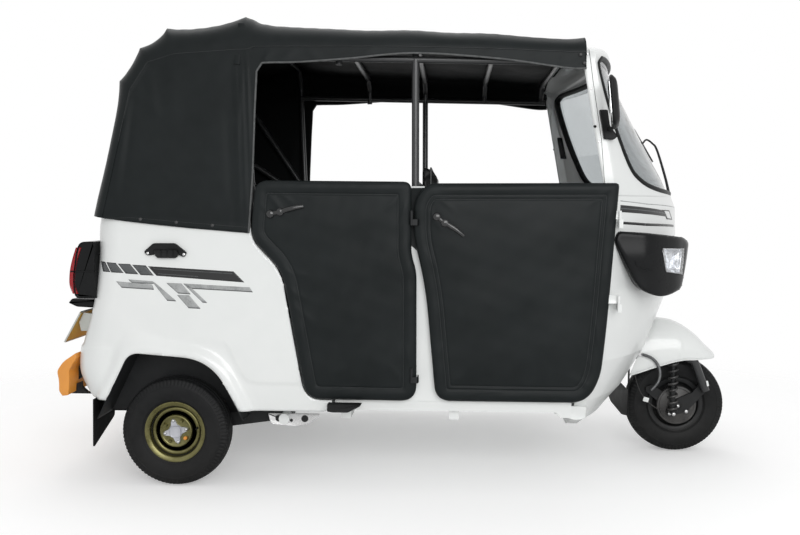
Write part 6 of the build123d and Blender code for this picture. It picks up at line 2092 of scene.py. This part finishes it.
def channel(distance, width=0.007, depth=0.006):
    """A sewn line pulls the skin down: depth * exp(-(distance / width)^2)."""
    return depth * np.exp(-((distance / width) ** 2))


# %% Each pad: its block, the way out of its board, and its sewn lines
PAD_CELL, PAD_PRESSURE = 0.0075, 4.0


def seat_pad(name, replaces_name, outline, low, high, place_on, lines, rim=0.022):
    """A pad standing on a board at depth low and swelling to depth high. place_on turns flat
    (a, b, depth) into the vehicle's frame, and lines are places of sewn channels along b."""
    block, faces = slab("plan", shrink(outline, 0.004), low, high - 0.010, rim, 7)
    flat, quads = puffed(block, faces, PAD_CELL, PAD_PRESSURE, 0.012,
                         lambda p: (p[:, 2] < low + 0.012).astype(float))
    lo, hi = outline.min(0), outline.max(0)
    a, b = ((2 * flat[:, k] - lo[k] - hi[k]) / (hi[k] - lo[k]) for k in (0, 1))
    lift = np.clip((flat[:, 2] - low) / (high - low), 0, 1)
    crown = 0.010 * np.clip(1 - a**2, 0, 1) * np.clip(1 - b**2, 0, 1) ** 0.7
    sewn = sum(channel(flat[:, 1] - value) for value in lines)
    board = (flat[:, 2] > low + 0.6 * (high - low))
    depth = flat[:, 2] + np.where(board, crown - sewn * np.clip(1.15 - np.abs(a), 0, 0.4) / 0.4, 0)
    pull = 0.007 * lift * (1 - b**2) * np.sign(a) * np.abs(a) ** 3
    turned_in = np.stack([flat[:, 0] - pull, flat[:, 1], np.minimum(depth, high + 0.004)], axis=1)
    skin = piece(name, (place_on(turned_in), [quads]), "body", seat_vinyl,
                 replaces_name, crease=80)
    edge = evenly(shrink(outline, 0.006), step=0.012, closed=True)
    cord_line = np.concatenate([edge, np.full((len(edge), 1), low + 0.62 * (high - low))], axis=1)
    ring = place_on(cord_line)
    across = place_on(cord_line + (0, 0, 0.01)) - ring
    angle = np.linspace(0, 2 * np.pi, 8, endpoint=False)
    round_cord = 0.0036 * np.stack([np.cos(angle), np.sin(angle)], axis=1)
    piece(f"{name}_piping", strip(ring, round_cord, across, closed=True), "body",
          vinyl_edge, crease=80)
    return skin


def rectangle(x, y, radius):
    """A rounded rectangle from (low, high) pairs of its two axes."""
    return rounded([(x[0], y[0]), (x[1], y[0]), (x[1], y[1]), (x[0], y[1])], radius, 8)


# %% Driver's seat
seat_pad("driver_cushion_pad", ["driver_seat_cushion"],
         rectangle((0.067, 0.444), (-0.328, 0.328), 0.05), 0.6105, 0.716, lambda p: p,
         (-0.11, 0.11))


def back_pad_place(p):
    """The back pad stands up: its depth becomes x, its first axis becomes z."""
    return np.stack([p[:, 2], p[:, 1], p[:, 0]], axis=1)


seat_pad("driver_back_cover", ["driver_back_pad"],
         rectangle((0.882, 1.208), (-0.248, 0.248), 0.035), 0.0435, 0.099, back_pad_place,
         (0.0,), rim=0.016)


# %% Rear bench
def bench_place(p):
    """The bench rises 20 mm from back to front: its top grows by (x - back) / 20."""
    rise = (p[:, 0] - REAR - 0.030) / 20 * np.clip((p[:, 2] - 0.62) / 0.1, 0, 1)
    return p + np.stack([0 * rise, 0 * rise, rise], axis=1)


seat_pad("rear_bench_cushion", ["rear_seat_cushion"],
         rectangle((REAR + 0.032, REAR + 0.428), (-0.567, 0.567), 0.035),
         0.6148, 0.721, bench_place, (-0.19, 0.19))


def bench_back_place(p):
    """The bench's back leans: x = foot - 0.1605 * height above the bench + depth."""
    height = p[:, 0] - 0.6145
    return np.stack([REAR - 0.064 - 0.1605 * height + p[:, 2], p[:, 1], p[:, 0]], axis=1)


seat_pad("rear_bench_back", ["rear_seat_back"],
         rectangle((0.6165, 1.156), (-0.567, 0.567), 0.035), 0.001, 0.085, bench_back_place,
         (-0.19, 0.19), rim=0.020)
print("seats made")

# %% [markdown]
# ## Small things inside and below
# Rubber grips on the bar, the posts between the doors with the strip that closes their gap,
# rubber under the cowl, and the brackets that show below the sill.

# %% Grips and levers
a = np.linspace(0, 1, 60)
grip_rings = np.stack([0.196 + 0.127 * a, 0.0158 + 0.0012 * np.cos(a * 2 * np.pi * 15)], axis=1)
grip_rings = np.concatenate([[(0.196, 0.0115)], grip_rings, [(0.3236, 0.012), (0.3238, 0.0005)]])
for side_name, side in SIDES:
    piece(f"grip_{side_name}", turned(grip_rings * (side, 1), (0.783, 0, 0.881), 28), "steering",
          seal_rubber)
    lever = np.array([(0.806, 0.185, 0.884), (0.822, 0.205, 0.886), (0.829, 0.250, 0.887),
                      (0.826, 0.300, 0.886)]) * (1, side, 1)
    piece(f"hand_lever_{side_name}", tube(smooth_through(lever, 20), 0.0045, 10), "steering",
          cast_alloy)

# %% Door posts, their strips and their hinge straps
gap_outline = rounded(line(PILLAR, (-15, 1112), (34, 1112), (16, 1000), (20, 915), (12, 880),
                           (-15, 905)), 0.004, 4)
post_outline = line(PILLAR, (-45, 333.3), (-30, 1118), (34, 1118), (48, 930), (98, 563),
                    (120, 333.3))
post_pin = np.array([(-0.022, 0.0005), (-0.022, 0.005), (0.0, 0.005), (0.0, 0.0005)])
post_straps = ((-8, 14, 0.6535, 0.6575), (10, 14, 0.6130, 0.6575))
for side_name, side in SIDES:
    piece(f"door_gap_strip_{side_name}",
          slab("side", gap_outline, side * 0.6125, side * 0.6165, 0.001, 3), "body", vinyl)
    piece(f"door_post_{side_name}",
          slab("side", post_outline, side * 0.6098, side * 0.6148, 0.0008, 3),
          "body", white_paint, ["door_posts"])
    brackets = []
    for top in (429.6, 999.6):
        pin_top = (PILLAR - 0.011, side * DOOR_HINGE_Y, top / 1000)
        brackets.append(transform(turned(post_pin, (0, 0, 0), 20), shift=pin_top, order=(0, 2, 1)))
        for back, front, inner, outer in post_straps:
            strap = line(PILLAR, (back, top - 22), (front, top - 22), (front, top), (back, top))
            brackets.append(slab("side", strap, side * inner, side * outer, 0.0005, 2))
    piece(f"door_post_hinges_{side_name}", join(*brackets), "body", black_paint)

# %% Lining of the cowl's foot
z_rows = np.linspace(0.216, 0.66, 24)[:, None]
y_rows = 0.29 + (0.975 * front_width(z_rows) - 0.29) * np.linspace(0, 1, 31)[None]
lining_grid = front_point(y_rows, z_rows + 0 * y_rows, -0.022)
for side_name, side in SIDES:
    piece(f"cowl_lining_{side_name}", grid(lining_grid * (1, side, 1)), "body", flap_rubber,
          wall=0.0015)

# %% Brackets that show under the sill
sill_plate = rounded(line(REAR, (337, 258), (343, 233), (356, 221), (440, 214), (486, 222),
                          (530, 250), (532, 262), (337, 262)), 0.004, 4)
foot_outline = rounded(line(FRONT, (-576, 318), (-460, 318), (-466, 272), (-500, 266),
                            (-560, 280)), 0.008, 5)
step_outline = rounded(line(REAR, (581, 332), (581, 304), (600, 301), (656, 301), (700, 324),
                            (706, 332)), 0.004, 4)
hole = np.linspace(0, 2 * np.pi, 24, endpoint=False)
for side_name, side in SIDES:
    piece(f"sill_bracket_{side_name}",
          slab("side", sill_plate, side * 0.538, side * 0.542, 0.001, 3), "body", bright_steel)
    # The bracket's holes are not cut through: black discs on its face are painted shade where the
    # holes would show the dark underside.
    hole_shade_discs = [slab("side", np.stack([REAR + x + r * np.cos(hole), z + r * np.sin(hole)], 1),
                  side * 0.5395, side * 0.5436, 0.0005, 2)
             for x, z, r in ((0.376, 0.243, 0.012), (0.476, 0.243, 0.013), (0.425, 0.236, 0.006))]
    piece(f"sill_bracket_hole_shade_{side_name}", join(*hole_shade_discs), "body", black_paint)
    piece(f"cowl_foot_{side_name}",
          slab("side", foot_outline, side * 0.560, side * 0.598, 0.004, 4), "body", white_paint)
    piece(f"door_step_{side_name}",
          slab("side", step_outline, side * 0.653, side * 0.676, 0.003, 4), "body",
          black_plastic, ["door_steps"])
print("small things made")
